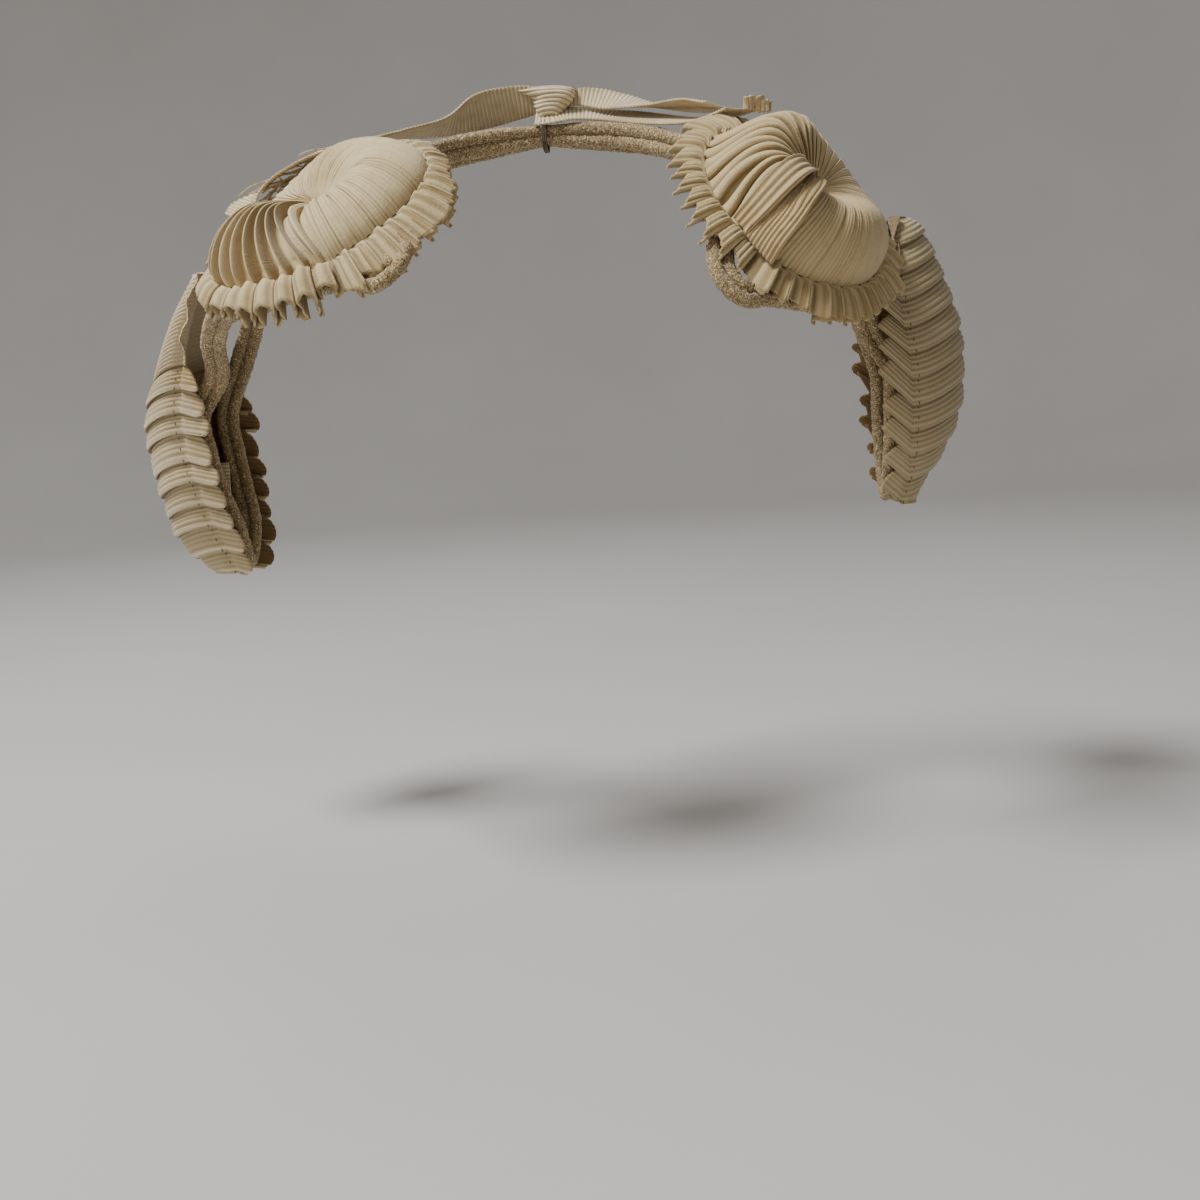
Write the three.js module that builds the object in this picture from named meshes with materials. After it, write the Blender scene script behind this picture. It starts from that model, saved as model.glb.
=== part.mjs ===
// A half hat of pleated grosgrain ribbon on two wired wings, tied together over the crown.
// Units are millimetres. +X is the wearer's left, -Y is the front and +Z is up.
// The origin is the point of the crown that the middle of the hat sits on.

import * as THREE from "three";

// Driving dimensions

const RIBBON_WALL = 1.4;
const STREAMER_WALL = 1.0;
const SEAT_GAP = 0.35;
const CORD_RADIUS = 1.5;
const CORD_SPACING = 2.7;
const SKULL_CENTRE = new THREE.Vector3(0, 14, -71);
const ROSETTE_DRAPE_RADIUS = 80;

// A rosette is a ring of knife pleats, drawn in to an eye and stitched down at its rim.
// Bearings are degrees in its own plane, from the wearer's left and counterclockwise from above.
const ROSETTES = {
  left_wing: {
    centre: [-43.8, -43.3, -14.1], azimuth: -31, elevation: 51.5,
    semiLong: 22.7, semiShort: 21.7, turn: 17, crown: 5.6, eyeHeight: 0.6, eyeShift: [1.5, -1],
    ruffle: 5.4, pleats: 38, pleatDepth: 0.45, swirl: 26,
    loose: { bearing: 215, spread: 60, lift: 0.75, depth: 1.1 },
    dip: { bearing: 122, spread: 62, depth: 3.8 },
  },
  right_wing: {
    centre: [53.6, -38.8, -19], azimuth: 45, elevation: 38.5,
    semiLong: 22.4, semiShort: 20.8, turn: 88, crown: 9.4, eyeHeight: 3.8, eyeShift: [1.3, 0],
    ruffle: 5.4, pleats: 38, pleatDepth: 0.45, swirl: 22,
    loose: { bearing: 165, spread: 60, lift: 0.1, depth: 1.2 },
    dip: { bearing: 60, spread: 80, depth: 4 },
  },
};

// The petal's ruffles step out from its stitched edges by this much.
const FLANGE_STEP = 0.3;

// A side petal is an arched leaf of knife pleats. Each row is a level of it, from the top down:
// the height, how far out its stitched edges and its crest stand, and its middle and half depth.
const PETALS = {
  left_wing: {
    side: -1, pleatTop: -43.5, pleats: 9, slant: -4.4, flange: 5.6, flangeTop: -47, pleatDepth: 0.6,
    rows: [
      { z: -24, edge: 75.5, crest: 79.5, middle: -16, half: 5 },
      { z: -32, edge: 79.5, crest: 87.4, middle: -10, half: 9.5 },
      { z: -45, edge: 85, crest: 96.1, middle: -1, half: 13.5 },
      { z: -57, edge: 87, crest: 99, middle: 2.5, half: 15 },
      { z: -70, edge: 85.5, crest: 97.2, middle: 3.5, half: 14 },
      { z: -82, edge: 83, crest: 94.5, middle: 4, half: 10.5 },
      { z: -92, edge: 80.5, crest: 86.5, middle: 3.5, half: 4.5 },
    ],
  },
  right_wing: {
    side: 1, pleatTop: -21, pleats: 11, slant: 3.8, flange: 5.6, flangeTop: -38, pleatDepth: 0.6,
    rows: [
      { z: -21, edge: 76, crest: 80.5, middle: -5.5, half: 4.5 },
      { z: -29, edge: 76.5, crest: 84.4, middle: -3.5, half: 8.5 },
      { z: -41, edge: 77.5, crest: 89.2, middle: 0, half: 12.5 },
      { z: -55, edge: 79.5, crest: 93, middle: 2.5, half: 14.5 },
      { z: -68, edge: 79.5, crest: 92.4, middle: 3.5, half: 13 },
      { z: -77, edge: 79.5, crest: 88.5, middle: 4, half: 9 },
      { z: -84.5, edge: 78, crest: 81.5, middle: 3.5, half: 4.5 },
    ],
  },
};

// Each wing is one loop of double cord. It leaves the tie along the front of the crown, makes a
// narrow tip under the rosette, runs down the petal's front edge, turns, and comes back behind.
// flat is how far the pair of cords is turned from standing on edge, in degrees.
const WING_ROUTES = {
  left_wing: {
    front: [
      { x: -0.8, y: -1.6, z: 3.6, flat: 0, girth: 0.76 },
      { x: -10.5, y: -3.6, z: 2.6, flat: 0, girth: 1 },
      { x: -20.5, y: -8.5, z: 0.5, flat: 0, girth: 1 },
      { x: -28, y: -16.5, z: -2.9, flat: 0, girth: 1 },
      { x: -31.5, y: -26, z: -6.8, flat: 0, girth: 1 },
      { x: -29.5, y: -35, z: -9.6, flat: 0, girth: 1 },
      { x: -26.4, y: -43.3, z: -13, flat: 20, girth: 1 },
      { x: -25.4, y: -50.4, z: -18.1, flat: 60, girth: 1 },
      { x: -24.8, y: -56.9, z: -24.2, flat: 88, girth: 1 },
      { x: -26.1, y: -60.8, z: -29, flat: 90, girth: 1 },
      { x: -29.9, y: -61.2, z: -31.7, flat: 90, girth: 1 },
      { x: -34.2, y: -57.9, z: -30.5, flat: 85, girth: 1 },
      { x: -40.4, y: -54.2, z: -30.4, flat: 55, girth: 1 },
      { x: -47.5, y: -51.4, z: -31.6, flat: 15, girth: 1 },
      { x: -54.2, y: -48.2, z: -33, flat: 0, girth: 1 },
      { x: -60.8, y: -42.6, z: -33.7, flat: 0, girth: 1 },
      { x: -66.6, y: -35.2, z: -33.8, flat: 0, girth: 1 },
      { x: -71.4, y: -26.8, z: -34.8, flat: 0, girth: 1 },
      { x: -75.4, y: -19.6, z: -39.4, flat: 0, girth: 1 },
      { x: -77.8, y: -11.8, z: -46.4, flat: 0, girth: 1 },
    ],
    petalLevels: [-55, -64, -73, -82],
    tip: { x: -80.2, y: 4.2, z: -90.6, flat: 0, girth: 1 },
    back: [
      { x: -77, y: 6, z: -43, flat: 0, girth: 1 },
      { x: -72.4, y: 1.6, z: -34.5, flat: 0, girth: 1 },
      { x: -69, y: -3.6, z: -25.5, flat: 0, girth: 1 },
      { x: -62, y: -7.4, z: -17.3, flat: 0, girth: 1 },
      { x: -52, y: -7, z: -9.5, flat: 0, girth: 1 },
      { x: -39, y: -2, z: -3.4, flat: 0, girth: 1 },
      { x: -26, y: 3, z: 0.5, flat: 0, girth: 1 },
      { x: -12, y: 3.6, z: 3, flat: 0, girth: 1 },
      { x: -0.8, y: 1.6, z: 3.6, flat: 0, girth: 0.76 },
    ],
  },
  right_wing: {
    front: [
      { x: 0.8, y: -1.6, z: 3.6, flat: 0, girth: 0.76 },
      { x: 11, y: -3.6, z: 2.6, flat: 0, girth: 1 },
      { x: 21.5, y: -8.5, z: 0.3, flat: 0, girth: 1 },
      { x: 30, y: -16, z: -3.5, flat: 0, girth: 1 },
      { x: 38, y: -25, z: -9.4, flat: 0, girth: 1 },
      { x: 40.4, y: -34, z: -14.4, flat: 0, girth: 1 },
      { x: 39.3, y: -41.9, z: -18.4, flat: 20, girth: 1 },
      { x: 37.6, y: -48.8, z: -23.1, flat: 60, girth: 1 },
      { x: 36.1, y: -55.3, z: -29.1, flat: 88, girth: 1 },
      { x: 36.4, y: -59.7, z: -34.8, flat: 90, girth: 1 },
      { x: 39.9, y: -59.9, z: -38.6, flat: 90, girth: 1 },
      { x: 44, y: -56.6, z: -38.6, flat: 90, girth: 1 },
      { x: 49.1, y: -52, z: -39.1, flat: 88, girth: 1 },
      { x: 54.9, y: -46.6, z: -40.3, flat: 75, girth: 1 },
      { x: 60.4, y: -39.6, z: -41.3, flat: 50, girth: 1 },
      { x: 64.6, y: -30.6, z: -40.4, flat: 20, girth: 1 },
      { x: 67.6, y: -21, z: -38, flat: 0, girth: 1 },
      { x: 68.6, y: -13.4, z: -38.4, flat: 0, girth: 1 },
      { x: 71.2, y: -8, z: -45.6, flat: 0, girth: 1 },
    ],
    petalLevels: [-55, -64, -74],
    tip: { x: 76.6, y: 3.9, z: -83.4, flat: 0, girth: 1 },
    back: [
      { x: 72.6, y: 9, z: -44, flat: 0, girth: 1 },
      { x: 68.4, y: 5, z: -32.4, flat: 0, girth: 1 },
      { x: 63.6, y: 0.4, z: -21.8, flat: 0, girth: 1 },
      { x: 55, y: -2.6, z: -13.6, flat: 0, girth: 1 },
      { x: 41, y: 0, z: -5.6, flat: 0, girth: 1 },
      { x: 26, y: 3, z: 0.6, flat: 0, girth: 1 },
      { x: 12, y: 3.6, z: 3, flat: 0, girth: 1 },
      { x: 0.8, y: 1.6, z: 3.6, flat: 0, girth: 0.76 },
    ],
  },
};

// The bow over the tie: flat ribbons, where twist stands the ribbon on its edge, in degrees.
const STREAMERS = {
  streamer_left: [
    { x: -4.5, y: 1.2, z: 11.8, width: 6.5, twist: 70 },
    { x: -14.7, y: 0, z: 9.9, width: 9, twist: 45 },
    { x: -22.4, y: -3.5, z: 6.5, width: 9, twist: 22 },
    { x: -32, y: -10, z: 4.3, width: 9.5, twist: 5 },
    { x: -45.6, y: -19.5, z: 0.6, width: 9, twist: -8 },
    { x: -55, y: -22, z: -3.6, width: 9, twist: -14 },
    { x: -63.8, y: -22.6, z: -10.4, width: 8.5, twist: -20 },
  ],
  streamer_right_upper: [
    { x: 8.5, y: 1.2, z: 12.1, width: 3.4, twist: 70 },
    { x: 17, y: 0, z: 10.1, width: 8, twist: 30 },
    { x: 26, y: -4.5, z: 7.4, width: 8.5, twist: 0 },
    { x: 33.5, y: -10, z: 5.9, width: 8.5, twist: -12 },
    { x: 39, y: -16, z: 4.2, width: 8, twist: -5 },
  ],
  streamer_right_lower: [
    { x: 5.3, y: 1, z: 8.4, width: 6.5, twist: 10 },
    { x: 17.3, y: -1.5, z: 6.2, width: 8, twist: 5 },
    { x: 31.6, y: -12.5, z: 2, width: 8.5, twist: 0 },
    { x: 38, y: -18.5, z: 1.2, width: 8.5, twist: 0 },
    { x: 43, y: -25.2, z: 1.6, width: 8, twist: 0 },
  ],
};

const KNOT_LEVELS = [
  { x: 0.6, z: 7.45, halfWidth: 2.4, halfDepth: 2.8 },
  { x: 0.9, z: 8.4, halfWidth: 3.3, halfDepth: 3.5 },
  { x: 1.5, z: 10.4, halfWidth: 4.9, halfDepth: 3.9 },
  { x: 2, z: 12.4, halfWidth: 6, halfDepth: 3.8 },
  { x: 2, z: 13.7, halfWidth: 6, halfDepth: 3 },
  { x: 2, z: 14.4, halfWidth: 5, halfDepth: 1.8 },
];

const FRILL_Y = -28.9;
const FRILL_LEVELS = [
  { x: 43.4, z: 1.6, halfWidth: 0.9, halfDepth: 1.6 },
  { x: 44.5, z: 1.8, halfWidth: 1.5, halfDepth: 2 },
  { x: 46.1, z: 1.8, halfWidth: 1.3, halfDepth: 2.1 },
  { x: 47.9, z: 1.5, halfWidth: 1.6, halfDepth: 1.9 },
  { x: 49.1, z: 1.1, halfWidth: 0.9, halfDepth: 1.4 },
];

// Finishes

const FINISHES = {
  ribbon: { color: 0xd8cbb0, roughness: 0.85, metalness: 0 },
  agedRibbon: { color: 0xc4b08a, roughness: 0.85, metalness: 0 },
  velvetCord: { color: 0xa98f62, roughness: 0.95, metalness: 0 },
  thread: { color: 0x4a3a24, roughness: 0.8, metalness: 0 },
};

function finish(name) {
  return new THREE.MeshStandardMaterial(FINISHES[name]);
}

// Small helpers

const radians = THREE.MathUtils.degToRad;
const smooth = THREE.MathUtils.smoothstep;

function mix(a, b, t) {
  return a + (b - a) * t;
}

function angleBetween(a, b) {
  return Math.abs(((a - b + 540) % 360) - 180);
}

function rowsAt(rows, keys, position) {
  // Reads a table at a fractional row, with the slopes of a Catmull-Rom spline.
  const last = rows.length - 1;
  const index = Math.min(last - 1, Math.max(0, Math.floor(position)));
  const t = position - index;
  const row = (i) => rows[Math.min(last, Math.max(0, i))];
  const result = {};
  for (const key of keys) {
    const [p0, p1, p2, p3] = [-1, 0, 1, 2].map((step) => row(index + step)[key]);
    const m1 = (p2 - p0) / 2;
    const m2 = (p3 - p1) / 2;
    const t2 = t * t;
    const t3 = t2 * t;
    result[key] = (2 * t3 - 3 * t2 + 1) * p1 + (t3 - 2 * t2 + t) * m1
      + (3 * t2 - 2 * t3) * p2 + (t3 - t2) * m2;
  }
  return result;
}

function solidFromRings(rings, cap) {
  // Joins closed rings of points into one closed skin. A pole cap closes an end with a fan to its
  // middle. A strip cap closes it between points that face each other across a narrow section.
  const count = rings[0].length;
  const points = rings.flat();
  const faces = [];
  const quad = (a, b, c, d) => faces.push([a, b, c], [a, c, d]);
  for (let i = 0; i + 1 < rings.length; i += 1) {
    for (let j = 0; j < count; j += 1) {
      const next = (j + 1) % count;
      quad(i * count + j, i * count + next, (i + 1) * count + next, (i + 1) * count + j);
    }
  }
  const ends = [{ start: 0, flip: true }, { start: (rings.length - 1) * count, flip: false }];
  for (const { start, flip } of ends) {
    const capFaces = [];
    if (cap === "pole") {
      const ring = points.slice(start, start + count);
      const middle = ring.reduce((sum, p) => sum.add(p), new THREE.Vector3()).divideScalar(count);
      const pole = points.push(middle) - 1;
      for (let j = 0; j < count; j += 1) {
        capFaces.push([start + j, start + ((j + 1) % count), pole]);
      }
    } else {
      for (let j = 0; j + 1 < count / 2; j += 1) {
        const near = start + j;
        const far = start + count - 1 - j;
        capFaces.push([near, near + 1, far - 1], [near, far - 1, far]);
      }
    }
    faces.push(...capFaces.map((face) => (flip ? face.reverse() : face)));
  }
  return skin(points, faces);
}

function skin(points, faces) {
  // Turns points and faces into a geometry whose faces point out.
  const volume = faces.reduce((sum, [a, b, c]) => {
    const cross = new THREE.Vector3().crossVectors(points[b], points[c]);
    return sum + points[a].dot(cross);
  }, 0);
  const outward = volume > 0 ? faces : faces.map(([a, b, c]) => [a, c, b]);
  const geometry = new THREE.BufferGeometry().setFromPoints(points);
  geometry.setIndex(outward.flat());
  geometry.computeVertexNormals();
  return geometry;
}

// Rosettes

const CREST_SHARE = 0.6;
const STITCH_REACH = 1.02;
const CROWN_PLACES = [0.1, 0.36, 0.68, 1, 1.32, 1.62, 1.88];
const SLOPE_STEP = 0.02;

function rosetteFrame(rosette) {
  const azimuth = radians(rosette.azimuth);
  const elevation = radians(rosette.elevation);
  const up = new THREE.Vector3(
    Math.sin(azimuth) * Math.cos(elevation),
    -Math.cos(azimuth) * Math.cos(elevation),
    Math.sin(elevation),
  );
  const across = new THREE.Vector3(0, 1, 0).cross(up).normalize();
  const back = new THREE.Vector3().crossVectors(up, across);
  return { centre: new THREE.Vector3(...rosette.centre), across, back, up };
}

function rimRadius(rosette, bearing) {
  const angle = radians(bearing - rosette.turn);
  const { semiLong, semiShort } = rosette;
  return (semiLong * semiShort) / Math.hypot(semiShort * Math.cos(angle), semiLong * Math.sin(angle));
}

function nearness(zone, bearing) {
  // 1 at the middle of a zone of bearings, easing to 0 at its ends.
  return 1 - smooth(angleBetween(bearing, zone.bearing), 0, zone.spread);
}

function rosettePoint(rosette, frame, bearing, reach, rise) {
  // reach is the distance from the eye as a share of the rim, with the part beyond 1 in millimetres.
  const share = Math.min(reach.share, STITCH_REACH);
  const angle = radians(bearing + rosette.swirl * Math.max(0, 1 - share));
  const distance = share * rimRadius(rosette, bearing) + reach.extra;
  const x = Math.cos(angle) * distance + rosette.eyeShift[0] * Math.max(0, 1 - share);
  const y = Math.sin(angle) * distance + rosette.eyeShift[1] * Math.max(0, 1 - share);
  const droop = (x * x + y * y) / (2 * ROSETTE_DRAPE_RADIUS);
  return frame.centre.clone()
    .addScaledVector(frame.across, x)
    .addScaledVector(frame.back, y)
    .addScaledVector(frame.up, rise - droop);
}

function crownProfile(rosette, bearing, place) {
  // The pleated crown over one bearing: place runs from 0 at the eye over 1 at the crest to 2 at the rim.
  const { crown, loose, dip } = rosette;
  const crest = crown * (1 + loose.lift * nearness(loose, bearing)) - dip.depth * nearness(dip, bearing);
  if (place <= 1) {
    const swell = 0.5 - 0.5 * Math.cos(Math.PI * place);
    return { share: CREST_SHARE * place, rise: mix(rosette.eyeHeight, crest, swell) };
  }
  const angle = radians(90 * (2 - place));
  return {
    share: CREST_SHARE + (STITCH_REACH - CREST_SHARE) * Math.cos(angle),
    rise: crest * Math.sin(angle),
  };
}

function crownArc(rosette, bearing, place, offset) {
  // The same profile, pushed out from itself by an offset.
  const before = crownProfile(rosette, bearing, place - SLOPE_STEP);
  const after = crownProfile(rosette, bearing, place + SLOPE_STEP);
  const run = (after.share - before.share) * rimRadius(rosette, bearing);
  const normal = new THREE.Vector2(before.rise - after.rise, run).normalize();
  const { share, rise } = crownProfile(rosette, bearing, place);
  return { reach: { share, extra: normal.x * offset }, rise: rise + normal.y * offset };
}

function rosetteSolid(rosette) {
  const frame = rosetteFrame(rosette);
  const pitch = 360 / rosette.pleats;
  const bearings = [];
  for (let pleat = 0; pleat < rosette.pleats; pleat += 1) {
    bearings.push({ bearing: pleat * pitch, fold: 1 }, { bearing: (pleat + 0.25) * pitch, fold: -1 });
  }
  const half = RIBBON_WALL / 2;
  const depthAt = (bearing) => {
    return rosette.pleatDepth * (1 + rosette.loose.depth * nearness(rosette.loose, bearing));
  };
  const arcRing = (place, offset) => bearings.map(({ bearing, fold }) => {
    const shift = offset + fold * depthAt(bearing) * smooth(place, 0.1, 0.7);
    const arc = crownArc(rosette, bearing, place, shift);
    return rosettePoint(rosette, frame, bearing, arc.reach, arc.rise);
  });
  const flatRing = (extra, rise, tooth) => bearings.map(({ bearing, fold }) => {
    const lift = tooth * (fold > 0 ? 1 : 0);
    const reach = { share: STITCH_REACH, extra: extra + lift * 0.5 };
    return rosettePoint(rosette, frame, bearing, reach, rise + lift);
  });
  const rings = [
    ...CROWN_PLACES.map((place) => arcRing(place, half)),
    flatRing(0.9, half, 0),
    flatRing(rosette.ruffle, half, 1.1),
    flatRing(rosette.ruffle, -half, 1.1),
    flatRing(-0.9, -half, 0),
    ...CROWN_PLACES.slice().reverse().map((place) => arcRing(place, -half)),
  ];
  return solidFromRings(rings, "pole");
}

// Side petals

const PETAL_KEYS = ["z", "edge", "crest", "middle", "half"];
const ARCH_ANGLES = [0, 22, 45, 68, 90, 112, 135, 158, 180];

function petalLevel(petal, z) {
  // Finds the level of the petal at a height, from its table.
  let index = 0;
  while (index + 2 < petal.rows.length && petal.rows[index + 1].z > z) {
    index += 1;
  }
  let low = index;
  let high = index + 1;
  for (let step = 0; step < 30; step += 1) {
    const guess = (low + high) / 2;
    if (rowsAt(petal.rows, ["z"], guess).z > z) {
      low = guess;
    } else {
      high = guess;
    }
  }
  return rowsAt(petal.rows, PETAL_KEYS, (low + high) / 2);
}

function petalStations(petal) {
  // Heights down the petal, with two for each pleat: its proud fold and the tuck just below it.
  const top = petal.rows[0].z;
  const bottom = petal.rows[petal.rows.length - 1].z;
  const stations = [];
  const plainSteps = Math.round((top - petal.pleatTop) / 5);
  for (let step = 0; step < plainSteps; step += 1) {
    stations.push({ z: mix(top, petal.pleatTop, step / plainSteps), fold: 0 });
  }
  const pitch = (petal.pleatTop - bottom) / petal.pleats;
  for (let pleat = 0; pleat < petal.pleats; pleat += 1) {
    const z = petal.pleatTop - pleat * pitch;
    stations.push({ z, fold: -1 }, { z: z - 0.8 * pitch, fold: 1 });
  }
  stations.push({ z: bottom, fold: 0 });
  return stations;
}

function petalRing(petal, station, offset) {
  // One section of the petal's ribbon, from the front ruffle over the arch to the back ruffle.
  const level = petalLevel(petal, station.z);
  const top = petal.rows[0].z;
  const bottom = petal.rows[petal.rows.length - 1].z;
  const along = (top - station.z) / (top - bottom);
  const window = Math.sin(Math.PI * Math.min(1, Math.max(0, along)));
  const height = level.crest - level.edge;
  const push = offset + station.fold * petal.pleatDepth;
  const place = (out, depth, z) => new THREE.Vector3(petal.side * out, depth, z);
  const arch = ARCH_ANGLES.map((angle) => {
    const theta = radians(angle);
    const normal = new THREE.Vector2(Math.sin(theta) * level.half, -Math.cos(theta) * height).normalize();
    return place(
      level.edge + height * Math.sin(theta) + normal.x * push,
      level.middle - level.half * Math.cos(theta) + normal.y * push,
      station.z + petal.slant * Math.sin(theta) * Math.sqrt(window),
    );
  });
  const tooth = station.fold > 0 ? 1.2 : 0;
  const grown = 0.3 + 0.7 * smooth(petal.flangeTop - station.z, -5, 5);
  const reach = grown * (petal.flange * (0.45 + 0.55 * Math.sqrt(window)) + tooth);
  const front = place(level.edge - reach, level.middle - level.half - push - FLANGE_STEP, station.z);
  const back = place(level.edge - reach, level.middle + level.half + push + FLANGE_STEP, station.z);
  return [front, ...arch, back];
}

function petalSolid(petal) {
  const half = RIBBON_WALL / 2;
  const rings = petalStations(petal).map((station) => {
    const outer = petalRing(petal, station, half);
    const inner = petalRing(petal, station, -half);
    return [...outer, ...inner.reverse()];
  });
  return solidFromRings(rings, "strip");
}

// Wings of double cord

const CORD_STEP = 5.2;
const CORD_ANGLES = [0, 45, 90, 135, 180];
const PETAL_EDGE_INSET = { out: 3, depth: 3.9 };

function doubleCordSection() {
  // Two round cords side by side, as one outline with a waist between them.
  const half = CORD_SPACING / 2;
  const upper = CORD_ANGLES.map((angle) => new THREE.Vector2(
    half + CORD_RADIUS * Math.sin(radians(angle)),
    CORD_RADIUS * Math.cos(radians(angle)),
  ));
  const lower = upper.map((point) => new THREE.Vector2(-point.x, -point.y));
  const waist = CORD_RADIUS * 0.5;
  return [
    ...upper.slice(2), new THREE.Vector2(0, -waist),
    ...lower.slice(0, 5), new THREE.Vector2(0, waist),
    ...upper.slice(0, 2),
  ];
}

function petalCordRow(petal, z, edge) {
  // The cord pair lies inside the petal's front or back edge, behind its ruffle.
  const level = petalLevel(petal, z);
  const sign = edge === "front" ? 1 : -1;
  return {
    x: petal.side * (level.edge - PETAL_EDGE_INSET.out),
    y: level.middle + sign * (PETAL_EDGE_INSET.depth - level.half),
    z, flat: 0, girth: 1,
  };
}

function wingRoute(wing) {
  const { front, petalLevels, tip, back } = WING_ROUTES[wing];
  const petal = PETALS[wing];
  return [
    ...front,
    ...petalLevels.map((z) => petalCordRow(petal, z, "front")),
    tip,
    ...petalLevels.slice().reverse().map((z) => petalCordRow(petal, z, "back")),
    ...back,
  ];
}

function wingSolid(wing) {
  const rows = wingRoute(wing);
  const places = rows.map(({ x, y, z }) => new THREE.Vector3(x, y, z));
  const curve = new THREE.CatmullRomCurve3(places, false, "centripetal");
  const section = doubleCordSection();
  const last = rows.length - 1;
  const rings = [];
  for (let index = 0; index < last; index += 1) {
    const steps = Math.max(1, Math.round(places[index].distanceTo(places[index + 1]) / CORD_STEP));
    for (let step = 0; step < steps; step += 1) {
      rings.push(cordRing(curve, rows, (index + step / steps) / last, section));
    }
  }
  rings.push(cordRing(curve, rows, 1, section));
  return solidFromRings(rings, "strip");
}

function cordRing(curve, rows, t, section) {
  const centre = curve.getPoint(t);
  const along = curve.getTangent(t);
  const { flat, girth } = rowsAt(rows, ["flat", "girth"], t * (rows.length - 1));
  const outward = centre.clone().sub(SKULL_CENTRE).normalize();
  const side = new THREE.Vector3().crossVectors(along, outward).normalize();
  const stand = new THREE.Vector3().crossVectors(side, along);
  const long = stand.clone().multiplyScalar(Math.cos(radians(flat)))
    .addScaledVector(side, Math.sin(radians(flat)));
  const short = new THREE.Vector3().crossVectors(along, long);
  return section.map((point) => centre.clone()
    .addScaledVector(long, point.x * girth)
    .addScaledVector(short, point.y * girth));
}

// Bow, tie and trimmings

const STREAMER_STEPS = 3;

function ribbonRing(centre, along, width, twist, wall) {
  const across = new THREE.Vector3(0, 0, 1).cross(along).normalize();
  const up = new THREE.Vector3().crossVectors(along, across);
  const wide = across.clone().multiplyScalar(Math.cos(radians(twist)))
    .addScaledVector(up, Math.sin(radians(twist)));
  const thick = new THREE.Vector3().crossVectors(along, wide);
  const corner = (a, b) => centre.clone()
    .addScaledVector(wide, (a * width) / 2)
    .addScaledVector(thick, (b * wall) / 2);
  return [corner(-1, 1), corner(0, 1), corner(1, 1), corner(1, -1), corner(0, -1), corner(-1, -1)];
}

function streamerSolid(rows) {
  const curve = new THREE.CatmullRomCurve3(rows.map(({ x, y, z }) => new THREE.Vector3(x, y, z)));
  const steps = (rows.length - 1) * STREAMER_STEPS;
  const rings = [];
  for (let step = 0; step <= steps; step += 1) {
    const t = step / steps;
    const { width, twist } = rowsAt(rows, ["width", "twist"], t * (rows.length - 1));
    rings.push(ribbonRing(curve.getPoint(t), curve.getTangent(t), width, twist, STREAMER_WALL));
  }
  return solidFromRings(rings, "strip");
}

function knotSolid() {
  // A ribbon wound over the bow, wide at the top and drawn in towards the tie.
  const sides = 12;
  const rings = KNOT_LEVELS.map((level) => {
    const ring = [];
    for (let i = 0; i < sides; i += 1) {
      const angle = (2 * Math.PI * i) / sides;
      const square = (value) => Math.sign(value) * Math.abs(value) ** 0.7;
      ring.push(new THREE.Vector3(
        level.x + level.halfWidth * square(Math.cos(angle)),
        1 + level.halfDepth * square(Math.sin(angle)),
        level.z,
      ));
    }
    return ring;
  });
  return solidFromRings(rings, "pole");
}

function frillSolid() {
  // The gathered end of the right streamer, which stands on the back of the right rosette.
  const sides = 10;
  const rings = FRILL_LEVELS.map((level) => {
    const ring = [];
    for (let i = 0; i < sides; i += 1) {
      const angle = (2 * Math.PI * i) / sides;
      ring.push(new THREE.Vector3(
        level.x,
        FRILL_Y + level.halfDepth * Math.cos(angle),
        level.z + level.halfWidth * Math.sin(angle),
      ));
    }
    return ring;
  });
  return solidFromRings(rings, "pole");
}

const TIE = { length: 3, halfDepth: 4.1, low: 0.05, high: 7.15, wall: 0.7, corner: 1.2 };

function roundedRectangle(path, halfWidth, low, high, corner) {
  path.moveTo(-halfWidth + corner, low);
  path.lineTo(halfWidth - corner, low);
  path.quadraticCurveTo(halfWidth, low, halfWidth, low + corner);
  path.lineTo(halfWidth, high - corner);
  path.quadraticCurveTo(halfWidth, high, halfWidth - corner, high);
  path.lineTo(-halfWidth + corner, high);
  path.quadraticCurveTo(-halfWidth, high, -halfWidth, high - corner);
  path.lineTo(-halfWidth, low + corner);
  path.quadraticCurveTo(-halfWidth, low, -halfWidth + corner, low);
  return path;
}

function tieSolid() {
  // Turns of thread around the four ends of the wings, as one collar.
  const { length, halfDepth, low, high, wall, corner } = TIE;
  const shape = roundedRectangle(new THREE.Shape(), halfDepth, low, high, corner);
  shape.holes.push(roundedRectangle(
    new THREE.Path(), halfDepth - wall, low + wall, high - wall, corner - wall / 2,
  ));
  const geometry = new THREE.ExtrudeGeometry(shape, { depth: length, bevelEnabled: false, curveSegments: 3 });
  const turn = new THREE.Matrix4().makeBasis(
    new THREE.Vector3(0, 1, 0), new THREE.Vector3(0, 0, 1), new THREE.Vector3(1, 0, 0),
  );
  return geometry.applyMatrix4(turn).translate(-length / 2, 0, 0);
}

const STRIP = {
  bearing: 275,
  rows: [
    { place: 0.95, halfWidth: 2.4 },
    { place: 1.2, halfWidth: 3 },
    { place: 1.42, halfWidth: 3.5 },
    { place: 1.6, halfWidth: 4 },
    { place: 1.78, halfWidth: 4.3 },
    { place: 1.93, halfWidth: 4.4 },
  ],
};

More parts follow.
